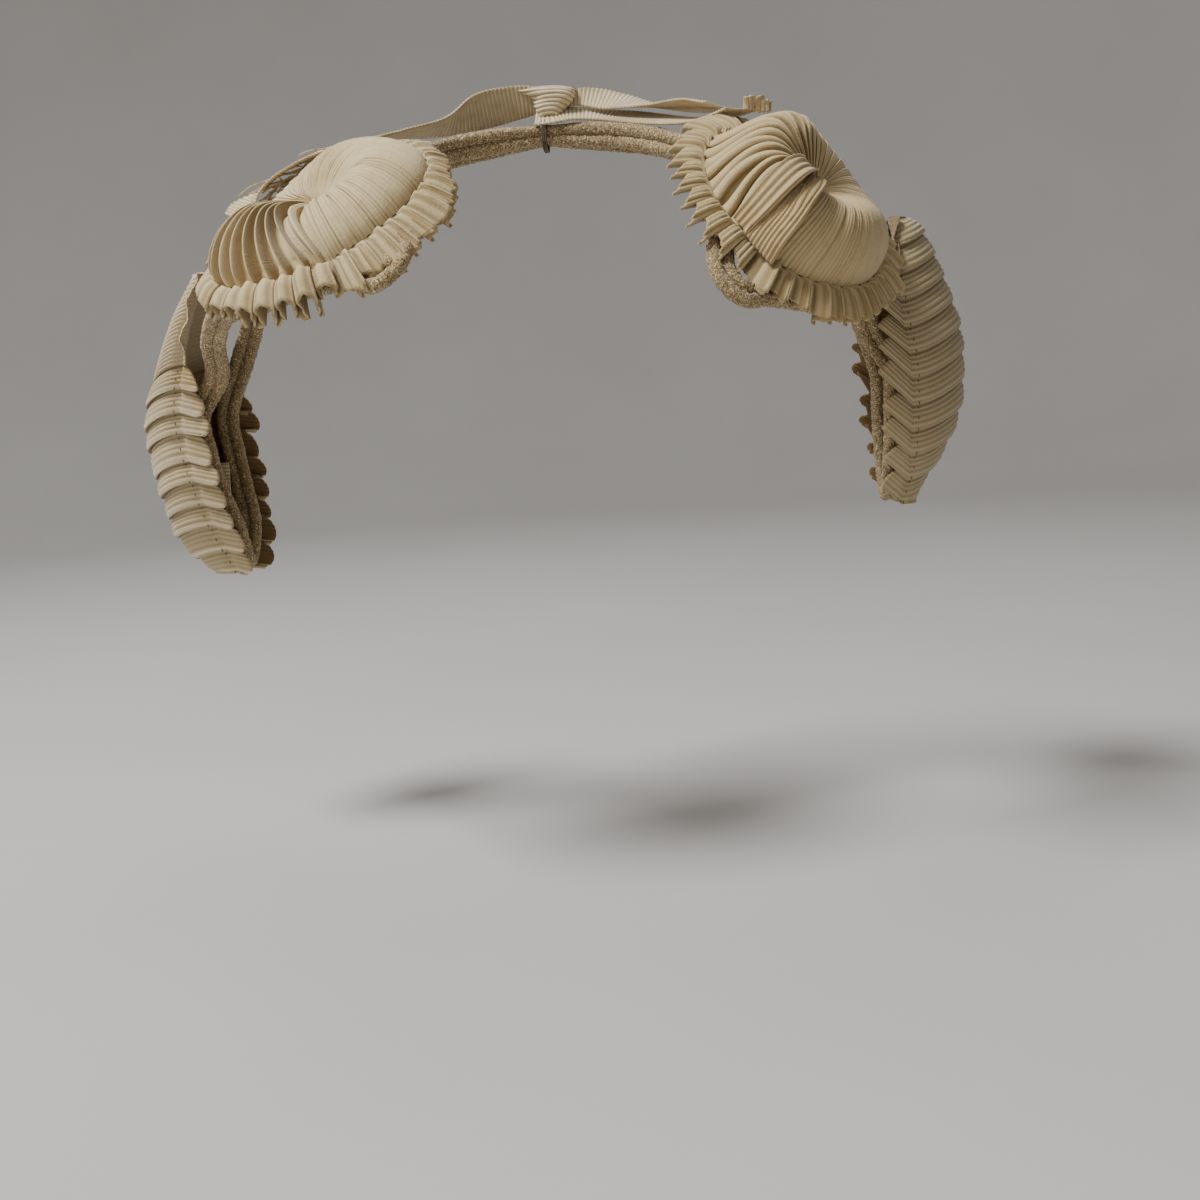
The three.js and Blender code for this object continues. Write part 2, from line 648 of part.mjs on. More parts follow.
function finishingStripSolid(rosette) {
  // The ribbon's end, laid flat over the pleats from the eye to the rim and tacked down.
  const frame = rosetteFrame(rosette);
  const half = STREAMER_WALL / 2;
  const lift = RIBBON_WALL / 2 + rosette.pleatDepth * 1.5 + SEAT_GAP + half;
  const ring = ({ place, halfWidth }) => {
    const { share } = crownProfile(rosette, STRIP.bearing, place);
    const distance = Math.max(6, share * rimRadius(rosette, STRIP.bearing));
    const spread = THREE.MathUtils.radToDeg(Math.asin(halfWidth / distance));
    const at = (side, offset) => {
      const bearing = STRIP.bearing + side * spread - rosette.swirl * (1 - share);
      const arc = crownArc(rosette, bearing, place, lift + offset);
      return rosettePoint(rosette, frame, bearing, arc.reach, arc.rise);
    };
    return [at(-1, half), at(0, half), at(1, half), at(1, -half), at(0, -half), at(-1, -half)];
  };
  return solidFromRings(STRIP.rows.map(ring), "strip");
}

const TAB = { width: 3, wall: 1, height: 9, centre: [-85.6, 10.7, -71] };

function tabSolid() {
  return new THREE.BoxGeometry(TAB.width, TAB.wall, TAB.height).translate(...TAB.centre);
}

// Assembly

function piece(name, geometry, finishName) {
  const mesh = new THREE.Mesh(geometry, finish(finishName));
  mesh.name = name;
  return mesh;
}

const hat = new THREE.Group();
hat.name = "fascinator";

for (const wing of ["left_wing", "right_wing"]) {
  const group = new THREE.Group();
  group.name = wing;
  group.add(
    piece(`${wing}_frame`, wingSolid(wing), "velvetCord"),
    piece(`${wing}_rosette`, rosetteSolid(ROSETTES[wing]), "ribbon"),
    piece(`${wing}_petal`, petalSolid(PETALS[wing]), "ribbon"),
  );
  hat.add(group);
}

const bow = new THREE.Group();
bow.name = "bow";
for (const [name, rows] of Object.entries(STREAMERS)) {
  bow.add(piece(name, streamerSolid(rows), "agedRibbon"));
}
bow.add(piece("bow_knot", knotSolid(), "agedRibbon"));
bow.add(piece("streamer_frill", frillSolid(), "agedRibbon"));

hat.add(
  bow,
  piece("crown_tie", tieSolid(), "thread"),
  piece("finishing_strip", finishingStripSolid(ROSETTES.right_wing), "ribbon"),
  piece("inner_tab", tabSolid(), "agedRibbon"),
);

export default hat;
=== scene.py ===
"""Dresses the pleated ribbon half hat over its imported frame, with its light, floor and camera."""

from __future__ import annotations

import logging
import math
from dataclasses import dataclass, field
from enum import Enum

import bpy
import numpy as np
from mathutils import Matrix, Vector

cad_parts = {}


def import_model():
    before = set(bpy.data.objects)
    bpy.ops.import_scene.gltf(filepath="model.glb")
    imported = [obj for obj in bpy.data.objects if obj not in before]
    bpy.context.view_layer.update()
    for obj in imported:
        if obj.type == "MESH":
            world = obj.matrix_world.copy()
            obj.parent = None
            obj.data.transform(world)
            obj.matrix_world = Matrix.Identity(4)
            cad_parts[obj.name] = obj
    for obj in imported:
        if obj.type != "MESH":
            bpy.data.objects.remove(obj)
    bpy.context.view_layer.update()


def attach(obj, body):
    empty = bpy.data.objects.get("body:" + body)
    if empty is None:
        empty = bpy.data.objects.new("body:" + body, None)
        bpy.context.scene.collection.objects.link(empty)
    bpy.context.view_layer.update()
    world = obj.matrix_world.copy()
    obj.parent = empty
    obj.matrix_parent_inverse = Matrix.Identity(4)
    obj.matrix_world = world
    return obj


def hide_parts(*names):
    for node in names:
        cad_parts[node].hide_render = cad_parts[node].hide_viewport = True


MM = 0.001
BODY = "root"
CORD_RADIUS = 1.5
CORD_SPACING = 2.7
CORD_STEP = 0.3
RIBBON_THICKNESS = 0.42
RIB_PITCH = 0.9
HOLLOW_CENTRE = np.array([0.0, 14.0, -71.0])
ROSETTE_RIBBON = 38.0
PETAL_RIBBON = 48.0
BOW_RIBBON = 10.0
OUTLINE_STEP = 11.0
RIB_SAMPLES = 4
ROW_STEP = RIB_PITCH / RIB_SAMPLES
FLAT_UNIT = 10.0

Array = np.ndarray
Piece = bpy.types.Object
Material = bpy.types.Material
Socket = bpy.types.NodeSocket
Triple = tuple[float, float, float]
Rows = tuple[tuple[float, ...], ...]

logging.basicConfig(level=logging.INFO, format="%(message)s")
LOG = logging.getLogger("half_hat")


# Small geometry


def unit(vectors: Array) -> Array:
    """Return the vectors at length one."""
    return vectors / np.maximum(np.linalg.norm(vectors, axis=-1, keepdims=True), 1e-9)


def smooth(value: Array | float, low: float, high: float) -> Array:
    """Rise smoothly from 0 at low to 1 at high.

    Args:
        value: Where to read the curve.
        low: The place where it leaves 0.
        high: The place where it reaches 1.

    Returns:
        The eased share at each value.
    """
    share = np.clip((np.asarray(value, float) - low) / (high - low), 0.0, 1.0)
    return share * share * (3.0 - 2.0 * share)


def through_rows(rows: Array, position: Array) -> Array:
    """Read a table at fractional rows, with the slopes of a Catmull-Rom spline.

    Args:
        rows: One row of values for each step of the table.
        position: Row numbers, whole or between rows.

    Returns:
        One row of values for each position.
    """
    last = len(rows) - 1
    index = np.clip(np.floor(position).astype(int), 0, last - 1)
    share = (position - index)[:, None]
    before, here, there, after = (rows[np.clip(index + step, 0, last)] for step in (-1, 0, 1, 2))
    leave, arrive = (there - before) / 2, (after - here) / 2
    square, cube = share**2, share**3
    return (
        (2 * cube - 3 * square + 1) * here
        + (cube - 2 * square + share) * leave
        + (3 * square - 2 * cube) * there
        + (cube - square) * arrive
    )


def through_points(points: Array, position: Array) -> Array:
    """Read a centripetal Catmull-Rom curve, the kind that the solids follow.

    Args:
        points: The points that the curve passes through.
        position: Point numbers, whole or between points.

    Returns:
        One place on the curve for each position.
    """
    ends = np.vstack([2 * points[0] - points[1], points, 2 * points[-1] - points[-2]])
    index = np.clip(np.floor(position).astype(int), 0, len(points) - 2)
    share = (position - index)[:, None]
    p0, p1, p2, p3 = (ends[index + step] for step in range(4))
    steps = (np.linalg.norm(b - a, axis=1) for a, b in ((p0, p1), (p1, p2), (p2, p3)))
    gaps = [np.maximum(step**0.5, 1e-4)[:, None] for step in steps]
    leave = ((p1 - p0) / gaps[0] - (p2 - p0) / (gaps[0] + gaps[1]) + (p2 - p1) / gaps[1]) * gaps[1]
    arrive = ((p2 - p1) / gaps[1] - (p3 - p1) / (gaps[1] + gaps[2]) + (p3 - p2) / gaps[2]) * gaps[1]
    square, cube = share**2, share**3
    return (
        p1
        + leave * share
        + (-3 * p1 + 3 * p2 - 2 * leave - arrive) * square
        + (2 * p1 - 2 * p2 + leave + arrive) * cube
    )


def even_positions(points: Array, spacing: float) -> Array:
    """Return positions along a curve at an even spacing.

    Args:
        points: The points that the curve passes through.
        spacing: Wanted distance from one place to the next, in millimetres.

    Returns:
        Fractional point numbers for through_points.
    """
    dense = np.linspace(0, len(points) - 1, 60 * len(points))
    steps = np.diff(through_points(points, dense), axis=0)
    walked = np.concatenate([[0.0], np.cumsum(np.linalg.norm(steps, axis=1))])
    count = max(2, int(walked[-1] / spacing) + 1)
    return np.interp(np.linspace(0, walked[-1], count), walked, dense)


@dataclass
class Weave:
    """A grid of points that becomes the mesh of one piece of ribbon, cord or thread.

    Attributes:
        points: Places in millimetres, rows by columns.
        run: The ribbon's own length coordinate at each point, in millimetres.
        width: The ribbon's own width coordinate at each point, in millimetres.
        closed: True where the last column joins the first.
        flip: True where the faces would otherwise point in.
        lap: The whole run of a closed grid, in millimetres.
        ribbed: How strongly the ribs show at each point, from 0 to 1.
        painted_shading: How much painted shade each point's crease gets, from 0 to 1, and, where it is below
            0, how much painted highlight its fold edge gets.
    """

    points: Array
    run: Array | float = 0.0
    width: Array | float = 0.0
    closed: bool = False
    flip: bool = False
    lap: float = 0.0
    ribbed: Array | float = 1.0
    painted_shading: Array | float = 0.0

    def normals(self) -> Array:
        """Find which way is out.

        Returns:
            The direction at each point.
        """
        down = np.gradient(self.points, axis=0)
        if self.closed:
            over = (np.roll(self.points, -1, axis=1) - np.roll(self.points, 1, axis=1)) / 2
        else:
            over = np.gradient(self.points, axis=1)
        normal = unit(np.cross(over, down))
        return -normal if self.flip else normal

    def faces(self, start: int, turn: bool) -> Array:
        """Return the four corners of each face.

        Args:
            start: Number of the first point of this layer.
            turn: True to list the corners the other way round.

        Returns:
            One row of four point numbers for each face.
        """
        rows, columns = self.points.shape[:2]
        number = start + np.arange(rows * columns).reshape(rows, columns)
        if self.closed:
            number = np.hstack([number, number[:, :1]])
        corners = [number[:-1, :-1], number[:-1, 1:], number[1:, 1:], number[1:, :-1]]
        if turn:
            corners.reverse()
        return np.stack([corner.ravel() for corner in corners], axis=1)

    def mesh(self, name: str, thickness: Array | float = 0.0) -> Piece:
        """Build the object, as one layer or as a closed layer with an inside.

        Args:
            name: Name of the new object.
            thickness: Distance from the outside to the inside, in millimetres, or 0 for one layer.

        Returns:
            The new object, with slot 0 for its outside and slot 1 for its inside.
        """
        shape = self.points.shape[:2]
        outer = self.points.reshape(-1, 3)
        layers, faces = [outer], [self.faces(0, self.flip)]
        inside = [np.zeros(len(faces[0]), int)]
        if np.any(thickness):
            layers.append((self.points - self.normals() * thickness).reshape(-1, 3))
            faces += [self.faces(len(outer), not self.flip), self.rim_faces(len(outer))]
            inside += [np.ones(len(faces[1]), int), np.zeros(len(faces[2]), int)]
        number = np.vstack(faces)
        piece = add_mesh(name, np.vstack(layers), number.tolist())
        data = piece.data
        data.polygons.foreach_set("material_index", np.concatenate(inside))
        flat = np.stack([np.broadcast_to(side, shape).ravel() for side in (self.run, self.width)], axis=1)
        flat = np.vstack([flat / FLAT_UNIT] * len(layers))[number]
        if self.closed:
            lap = self.lap / FLAT_UNIT
            behind = flat[:, :, 0].max(axis=1, keepdims=True) - flat[:, :, 0]
            flat[:, :, 0] += (behind > lap / 2) * lap
        data.uv_layers.new(name="ribbon").data.foreach_set("uv", flat.ravel())
        for label, values in (("ribbed", self.ribbed), ("painted_shading", self.painted_shading)):
            values = np.tile(np.broadcast_to(values, shape).ravel(), len(layers))
            data.attributes.new(label, "FLOAT", "POINT").data.foreach_set("value", values)
        return piece

    def rim_faces(self, layer: int) -> Array:
        """Return the faces that close the edges between the outside and the inside.

        Args:
            layer: How many points lie between an outside point and the inside one under it.

        Returns:
            One row of four point numbers for each face.
        """
        rows, columns = self.points.shape[:2]
        number = np.arange(rows * columns).reshape(rows, columns)
        first, last = number[0], number[-1]
        if self.closed:
            first, last = np.append(first, first[0]), np.append(last, last[0])
        edges = [first, last[::-1]]
        if not self.closed:
            edges += [number[::-1, 0], number[:, -1]]
        strips = []
        for edge in edges:
            strip = np.stack([edge[:-1], edge[:-1] + layer, edge[1:] + layer, edge[1:]], axis=1)
            strips.append(strip[:, ::-1] if self.flip else strip)
        return np.vstack(strips)


def zone(bearing: Array, middle: float, spread: float, core: float = 0.0) -> Array:
    """Return 1 in a zone of bearings, easing to 0 at its ends.

    Args:
        bearing: Bearings in degrees.
        middle: Bearing of the zone's middle.
        spread: How far the zone reaches to each side.
        core: Share of that reach over which it stays 1.

    Returns:
        The share at each bearing.
    """
    return 1.0 - smooth(np.abs((bearing - middle + 540.0) % 360.0 - 180.0), core * spread, spread)


def between(ends: tuple[float, float], share: Array) -> Array:
    """Return the value that lies some share of the way between two ends."""
    return ends[0] + (ends[1] - ends[0]) * share


def squared(value: Array, power: float) -> Array:
    """Square off a circle's coordinate, the more so the smaller the power.

    Args:
        value: The coordinate, from -1 to 1.
        power: 1 for the circle itself, and less to square it off.

    Returns:
        The squared-off coordinate.
    """
    return np.sign(value) * np.abs(value) ** power


def add_object(name: str, data: object) -> Piece:
    """Add an object of some data to the scene and return it.

    Args:
        name: Name of the new object.
        data: Its mesh, lamp or camera.

    Returns:
        The new object.
    """
    piece = bpy.data.objects.new(name, data)
    bpy.context.scene.collection.objects.link(piece)
    return piece


def add_mesh(name: str, points: Array, faces: list[list[int]]) -> Piece:
    """Add a smooth mesh to the scene.

    Args:
        name: Name of the new object.
        points: Its points, in millimetres.
        faces: The point numbers of each face.

    Returns:
        The new object.
    """
    data = bpy.data.meshes.new(name)
    data.from_pydata((points * MM).tolist(), [], faces)
    data.polygons.foreach_set("use_smooth", np.ones(len(faces), bool))
    data.update()
    return add_object(name, data)


# Finishes


@dataclass(frozen=True)
class ShaderGraph:
    """A material's node tree, with short ways to add to it.

    Attributes:
        material: The material that the nodes belong to.
    """

    material: Material

    @classmethod
    def named(cls, name: str, **settings: float) -> ShaderGraph:
        """Start a new material.

        Args:
            name: Name of the material.
            **settings: Its shader's sockets by name, with underscores for spaces.

        Returns:
            The graph of the new material.
        """
        material = bpy.data.materials.new(name)
        material.use_nodes = True
        graph = cls(material)
        for key, value in settings.items():
            graph.surface(key.replace("_", " ")).default_value = value
        return graph

    def surface(self, name: str) -> Socket:
        """Return a socket of the material's shader."""
        return self.material.node_tree.nodes["Principled BSDF"].inputs[name]

    def node(self, kind: str, **settings: object) -> bpy.types.Node:
        """Add a node.

        Args:
            kind: Blender's name for the node's type.
            **settings: Properties of the node, or input sockets by name with underscores for spaces.

        Returns:
            The new node.
        """
        made = self.material.node_tree.nodes.new(kind)
        for key, value in settings.items():
            socket = made.inputs.get(key.replace("_", " "))
            if hasattr(made, key):
                setattr(made, key, value)
            elif socket is not None:
                socket.default_value = value
        return made

    def join(self, source: Socket | tuple | float, target: Socket) -> None:
        """Link a socket to another, or set the other to a constant.

        Args:
            source: The socket to link from, or the constant.
            target: The socket that takes it.
        """
        if isinstance(source, Socket):
            self.material.node_tree.links.new(source, target)
        else:
            target.default_value = source

    def maths(self, operation: str, *values: Socket | float) -> Socket:
        """Add a sum or function of some values.

        Args:
            operation: Blender's name for it.
            *values: The sockets or constants that it takes.

        Returns:
            The socket of its result.
        """
        made = self.node("ShaderNodeMath", operation=operation)
        for place, value in enumerate(values):
            self.join(value, made.inputs[place])
        return made.outputs[0]

    def noise(self, coordinates: Socket, scale: float, detail: float = 3.0) -> Socket:
        """Add a noise texture and return its value.

        Args:
            coordinates: Where the noise is read.
            scale: How many blotches to the unit.
            detail: How many finer layers it has.

        Returns:
            The socket of the noise's value.
        """
        made = self.node("ShaderNodeTexNoise", Scale=scale, Detail=detail)
        self.join(coordinates, made.inputs["Vector"])
        return made.outputs["Fac"]

    def span(self, value: Socket, low: float, high: float, to: float = 1.0) -> Socket:
        """Map a value's span from low to high onto 0 to another value, held at both ends.

        Args:
            value: The socket that is read.
            low: The value that becomes 0.
            high: The value that becomes the top one.
            to: The top value.

        Returns:
            The socket of the mapped value.
        """
        made = self.node("ShaderNodeMapRange", clamp=True)
        settings = {"Value": value, "From Min": low, "From Max": high, "To Min": 0.0, "To Max": to}
        for name, source in settings.items():
            self.join(source, made.inputs[name])
        return made.outputs["Result"]

    def blend(self, share: Socket, under: Socket | tuple, over: Socket | tuple) -> Socket:
        """Mix one colour over another.

        Args:
            share: How much of the upper colour shows.
            under: The lower colour, or its socket.
            over: The upper colour, or its socket.

        Returns:
            The socket of the mixed colour.
        """
        made = self.node("ShaderNodeMix", data_type="RGBA")
        for place, source in ((0, share), (6, under), (7, over)):
            self.join((*source, 1.0) if isinstance(source, tuple) else source, made.inputs[place])
        return made.outputs[2]

    def bump(self, height: Socket, strength: float, distance: float) -> None:
        """Roughen the surface.

        Args:
            height: The socket of its height.
            strength: How strongly it shows.
            distance: How deep it is, in metres.
        """
        made = self.node("ShaderNodeBump", Strength=strength, Distance=distance)
        self.join(height, made.inputs["Height"])
        self.join(made.outputs["Normal"], self.surface("Normal"))


@dataclass(frozen=True)
class Stain:
    """A mark of age on one place of the hat.

    Attributes:
        place: Its middle, in millimetres.
        reach: How far it spreads, in millimetres.
        colour: Its colour.
        strength: How much of it covers the ribbon.
    """

    place: Triple
    reach: float
    colour: Triple
    strength: float


@dataclass(frozen=True)
class GrosgrainFinish:
    """Matt ribbed ribbon, yellowed along its edges and blotched with age, with painted shade in its rib
    grooves and creases and painted highlight on its fold edges.

    Attributes:
        name: Name of the material.
        base: Its clean colour.
        aged: The colour of its faint blotches.
        selvedge: The colour near the ribbon's edges.
        groove_shade: The colour of the painted shade between its ribs.
        crease: The colour of the painted shade at the bottom of its creases.
        highlight_colour: The pale colour of the painted highlight on its fold edges.
        width: The ribbon's width in millimetres, or 0 where its edges don't show.
        stains: Single marks on it.
        sheen: How much light its fuzz catches.
    """

    name: str
    base: Triple
    aged: Triple
    selvedge: Triple
    groove_shade: Triple = (0.24, 0.155, 0.06)
    crease: Triple = (0.16, 0.095, 0.035)
    highlight_colour: Triple = (0.80, 0.69, 0.46)
    width: float = 0.0
    stains: tuple[Stain, ...] = ()
    sheen: float = 0.25

    def build(self) -> Material:
        """Build the material.

        Returns:
            The material.
        """
        graph = ShaderGraph.named(
            self.name, Roughness=0.82, Specular_IOR_Level=0.22, Sheen_Weight=self.sheen, Sheen_Roughness=0.5
        )
        texture = graph.node("ShaderNodeTexCoord")
        place, flat = texture.outputs["Object"], texture.outputs["UV"]
        parts = graph.node("ShaderNodeSeparateXYZ")
        graph.join(flat, parts.inputs[0])
        blotch = graph.span(graph.noise(place, 62.0, 4.0), 0.42, 0.72, 0.75)
        colour = graph.blend(blotch, self.base, self.aged)
        grime = graph.span(graph.noise(place, 420.0, 5.0), 0.48, 0.8, 0.5)
        colour = graph.blend(grime, colour, self.selvedge)
        if self.width:
            colour = graph.blend(self.edge_share(graph, parts.outputs[1], place), colour, self.selvedge)
        # Painted shade in the grooves between the ribs.
        colour = graph.blend(self.groove_shade_share(graph, parts.outputs[0]), colour, self.groove_shade)
        for stain in self.stains:
            colour = graph.blend(self.stain_share(graph, place, stain), colour, stain.colour)
        # Painted shade in the creases where the attribute is above 0, and painted highlight on the fold edges
        # where it is below 0.
        painted_shading = graph.node("ShaderNodeAttribute", attribute_name="painted_shading").outputs["Fac"]
        colour = graph.blend(graph.span(painted_shading, 0.0, 1.0), colour, self.crease)
        colour = graph.blend(graph.span(painted_shading, 0.0, -1.0), colour, self.highlight_colour)
        graph.join(colour, graph.surface("Base Color"))
        self.thread_bump(graph, flat, place)
        return graph.material

    def groove_shade_share(self, graph: ShaderGraph, run: Socket) -> Socket:
        """Read how much painted shade a point gets from lying deep in a groove between two ribs.

        Args:
            graph: The graph that the nodes are added to.
            run: The ribbon's length coordinate.

        Returns:
            The socket of the depth at each point.
        """
        wave = graph.maths("COSINE", graph.maths("MULTIPLY", run, 2 * math.pi * FLAT_UNIT / RIB_PITCH))
        strength = graph.node("ShaderNodeAttribute", attribute_name="ribbed")
        return graph.maths("MULTIPLY", graph.span(wave, 0.3, -1.0, 0.6), strength.outputs["Fac"])

    def edge_share(self, graph: ShaderGraph, across: Socket, place: Socket) -> Socket:
        """Read how yellowed a point is, from its distance to the ribbon's edges.

        Args:
            graph: The graph that the nodes are added to.
            across: The ribbon's width coordinate.
            place: Where each point is.

        Returns:
            The socket of the share at each point.
        """
        wide, border = self.width / FLAT_UNIT, 0.22
        near = graph.span(across, border, 0.0, 0.5)
        far = graph.span(across, wide - border, wide, 0.5)
        patches = graph.span(graph.noise(place, 180.0), 0.35, 0.62)
        return graph.maths("MULTIPLY", graph.maths("ADD", near, far), patches)

    def stain_share(self, graph: ShaderGraph, place: Socket, stain: Stain) -> Socket:
        """Read how much of a stain covers a point, broken up by noise.

        Args:
            graph: The graph that the nodes are added to.
            place: Where each point is.
            stain: The stain.

        Returns:
            The socket of the share at each point.
        """
        away = graph.node("ShaderNodeVectorMath", operation="DISTANCE")
        graph.join(place, away.inputs[0])
        away.inputs[1].default_value = [value * MM for value in stain.place]
        core = graph.span(away.outputs["Value"], stain.reach * MM, stain.reach * MM * 0.3)
        broken = graph.span(graph.noise(place, 520.0, 4.0), 0.36, 0.6, stain.strength)
        return graph.maths("MULTIPLY", core, broken)

    def thread_bump(self, graph: ShaderGraph, flat: Socket, place: Socket) -> None:
        """Add the fine warp threads that cross the ribs, and a little fuzz.

        Args:
            graph: The graph that the nodes are added to.
            flat: The ribbon's own coordinates.
            place: Where each point is.
        """
        stretch = graph.node("ShaderNodeMapping", Scale=(4.0, 34.0, 1.0))
        graph.join(flat, stretch.inputs["Vector"])
        threads = graph.noise(stretch.outputs["Vector"], 1.0, 2.0)
        graph.bump(graph.maths("ADD", threads, graph.noise(place, 2600.0, 3.0)), 0.55, 0.00022)


@dataclass(frozen=True)
class PileFinish:
    """Short velvet pile on cord: pale tips over dark roots in fine specks, the dark partly the pile's own
    texture and partly painted shade, with painted highlight specks.

    Attributes:
        name: Name of the material.
        tip: Colour of the pile's tips.
        root: Colour between them, partly painted shade among the pile.
        glint: Colour of the painted highlight specks.
    """

    name: str
    tip: Triple
    root: Triple
    glint: Triple

    def build(self) -> Material:
        """Build the material.

        Returns:
            The material.
        """
        graph = ShaderGraph.named(self.name, Roughness=0.9, Sheen_Weight=0.2)
        place = graph.node("ShaderNodeTexCoord").outputs["Object"]
        # Fine specks of the pale tip colour over the dark root colour; the dark is partly the pile's own
        # texture and partly painted shade.
        speck = graph.span(graph.noise(place, 3000.0, 2.0), 0.38, 0.6)
        colour = graph.blend(speck, self.root, self.tip)
        tone = graph.span(graph.noise(place, 90.0, 3.0), 0.35, 0.7, 0.45)
        colour = graph.blend(tone, colour, self.root)
        # Painted highlight specks.
        glint = graph.span(graph.noise(place, 2400.0, 1.0), 0.6, 0.7, 0.8)
        colour = graph.blend(glint, colour, self.glint)
        graph.join(colour, graph.surface("Base Color"))
        graph.bump(graph.noise(place, 1900.0, 3.0), 0.8, 0.0004)
        return graph.material


@dataclass(frozen=True)
class ThreadFinish:
    """Sewing thread, with the slant of its ply.

    Attributes:
        name: Name of the material.
        colour: Its colour.
        worn: The colour of its worn, fuzzy places.
    """

    name: str
    colour: Triple
    worn: Triple

    def build(self) -> Material:
        """Build the material.

        Returns:
            The material.
        """
        graph = ShaderGraph.named(self.name, Roughness=0.7)
        place = graph.node("ShaderNodeTexCoord").outputs["Object"]
        worn = graph.span(graph.noise(place, 700.0, 3.0), 0.45, 0.7)
        graph.join(graph.blend(worn, self.colour, self.worn), graph.surface("Base Color"))
        graph.bump(graph.noise(place, 3000.0, 2.0), 0.5, 0.0002)
        return graph.material


CREAM = (0.66, 0.53, 0.30)
AGED_CREAM = (0.53, 0.405, 0.21)
# The right rosette's darker copy of CREAM is painted shade on the side away from the light.
SHADED_CREAM = (0.53, 0.415, 0.22)
LEFT_PETAL_CREAM = (0.51, 0.41, 0.245)
# The right petal's darker copy of LEFT_PETAL_CREAM is painted shade on the side away from the light.
SHADED_PETAL_CREAM = (0.40, 0.33, 0.20)
BOW_CREAM = (0.72, 0.61, 0.41)
YELLOWED = (0.42, 0.285, 0.11)
RUST = (0.22, 0.12, 0.035)
# Painted shade of the petals' insides.
SHADED_INSIDE = (0.17, 0.105, 0.045)
WATER_MARK = (0.30, 0.17, 0.06)


@dataclass
class Finishes:
    """Every material of the hat, built once.

    Attributes:
        rosettes: The ribbon of each wing's rosette, by the wing's name.
        petals: The ribbon of each wing's petal, by the wing's name.
        inside: The underside of the petals, dark with painted shade.
        bow: The pale ribbon of the bow.
        strip: The darker ribbon of the finishing strip, and the underside of the rosettes.
        pile: The velvet of the cords.
        tie: The thread round the cord ends.
        stitch: The thread of the seams.
        fray: The loose warp threads.
    """

    rosettes: dict[str, Material] = field(init=False)
    petals: dict[str, Material] = field(init=False)
    inside: Material = field(init=False)
    bow: Material = field(init=False)
    strip: Material = field(init=False)
    pile: Material = field(init=False)
    tie: Material = field(init=False)
    stitch: Material = field(init=False)
    fray: Material = field(init=False)

    def __post_init__(self) -> None:
        """Build the materials."""

        def ribbon(name: str, base: tuple, aged: tuple, width: float, stains: tuple = ()) -> Material:
            """Build the material of a ribbon with yellowed edges."""
            name = f"{name}_grosgrain"
            return GrosgrainFinish(name, base, aged, YELLOWED, width=width, stains=stains).build()

        spots = (
            Stain((44.0, -47.0, -9.0), 2.0, RUST, 0.55),
            Stain((39.5, -44.0, -12.5), 1.6, RUST, 0.5),
            Stain((37.0, -50.0, -16.0), 1.3, RUST, 0.4),
            Stain((-36.0, -55.0, -20.0), 2.2, YELLOWED, 0.6),
        )
        selvedge = (
            Stain((-78.5, -20.5, -30.0), 5.0, YELLOWED, 1.0),
            Stain((-82.0, -17.5, -38.0), 4.5, WATER_MARK, 0.85),
            Stain((-82.0, -15.0, -46.0), 5.5, YELLOWED, 1.0),
            Stain((-81.0, -12.0, -52.0), 3.5, WATER_MARK, 0.6),
        )
        self.rosettes = {
            "left_wing": ribbon("left_rosette", CREAM, AGED_CREAM, 3 * OUTLINE_STEP, spots),
            # The right rosette's darker base colour is painted shade.
            "right_wing": ribbon("right_rosette", SHADED_CREAM, AGED_CREAM, 3 * OUTLINE_STEP, spots),
        }
        self.petals = {
            "left_wing": ribbon("left_petal", LEFT_PETAL_CREAM, (0.44, 0.34, 0.19), PETAL_RIBBON, selvedge),
            # The right petal's darker colours are painted shade.
            "right_wing": ribbon("right_petal", SHADED_PETAL_CREAM, (0.36, 0.29, 0.165), PETAL_RIBBON),
        }
        # The inside's dark colours are painted shade.
        self.inside = GrosgrainFinish("shaded_inside_grosgrain", SHADED_INSIDE, (0.15, 0.095, 0.04), RUST, RUST).build()
        self.bow = ribbon("bow", BOW_CREAM, (0.56, 0.45, 0.27), BOW_RIBBON)
        self.strip = GrosgrainFinish(
            "strip_grosgrain", AGED_CREAM, YELLOWED, RUST, width=ROSETTE_RIBBON
        ).build()
        self.pile = PileFinish(
            "velvet_pile", (0.47, 0.345, 0.17), (0.13, 0.08, 0.03), (0.80, 0.68, 0.45)
        ).build()
        self.tie = ThreadFinish("tie_thread", (0.07, 0.045, 0.02), (0.15, 0.105, 0.055)).build()
        self.stitch = ThreadFinish("stitch_thread", (0.085, 0.055, 0.025), (0.2, 0.14, 0.075)).build()
        self.fray = ThreadFinish("frayed_thread", (0.56, 0.43, 0.24), (0.34, 0.24, 0.12)).build()


def dress(piece: Piece, slot: str, *materials: Material, node: str = "") -> None:
    """Give a piece its materials and its body, and hide the solid that it stands for.

    Args:
        piece: The new piece.
        slot: The record's material slot that its finish stands for; not used.
        *materials: Its materials, in the order of its faces' numbers.
        node: Name of the solid that it replaces, or nothing where it is extra.
    """
    for material in materials:
        piece.data.materials.append(material)
    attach(piece, BODY)
    if node:
        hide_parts(node)
    LOG.info("%s: %d faces", piece.name, len(piece.data.polygons))


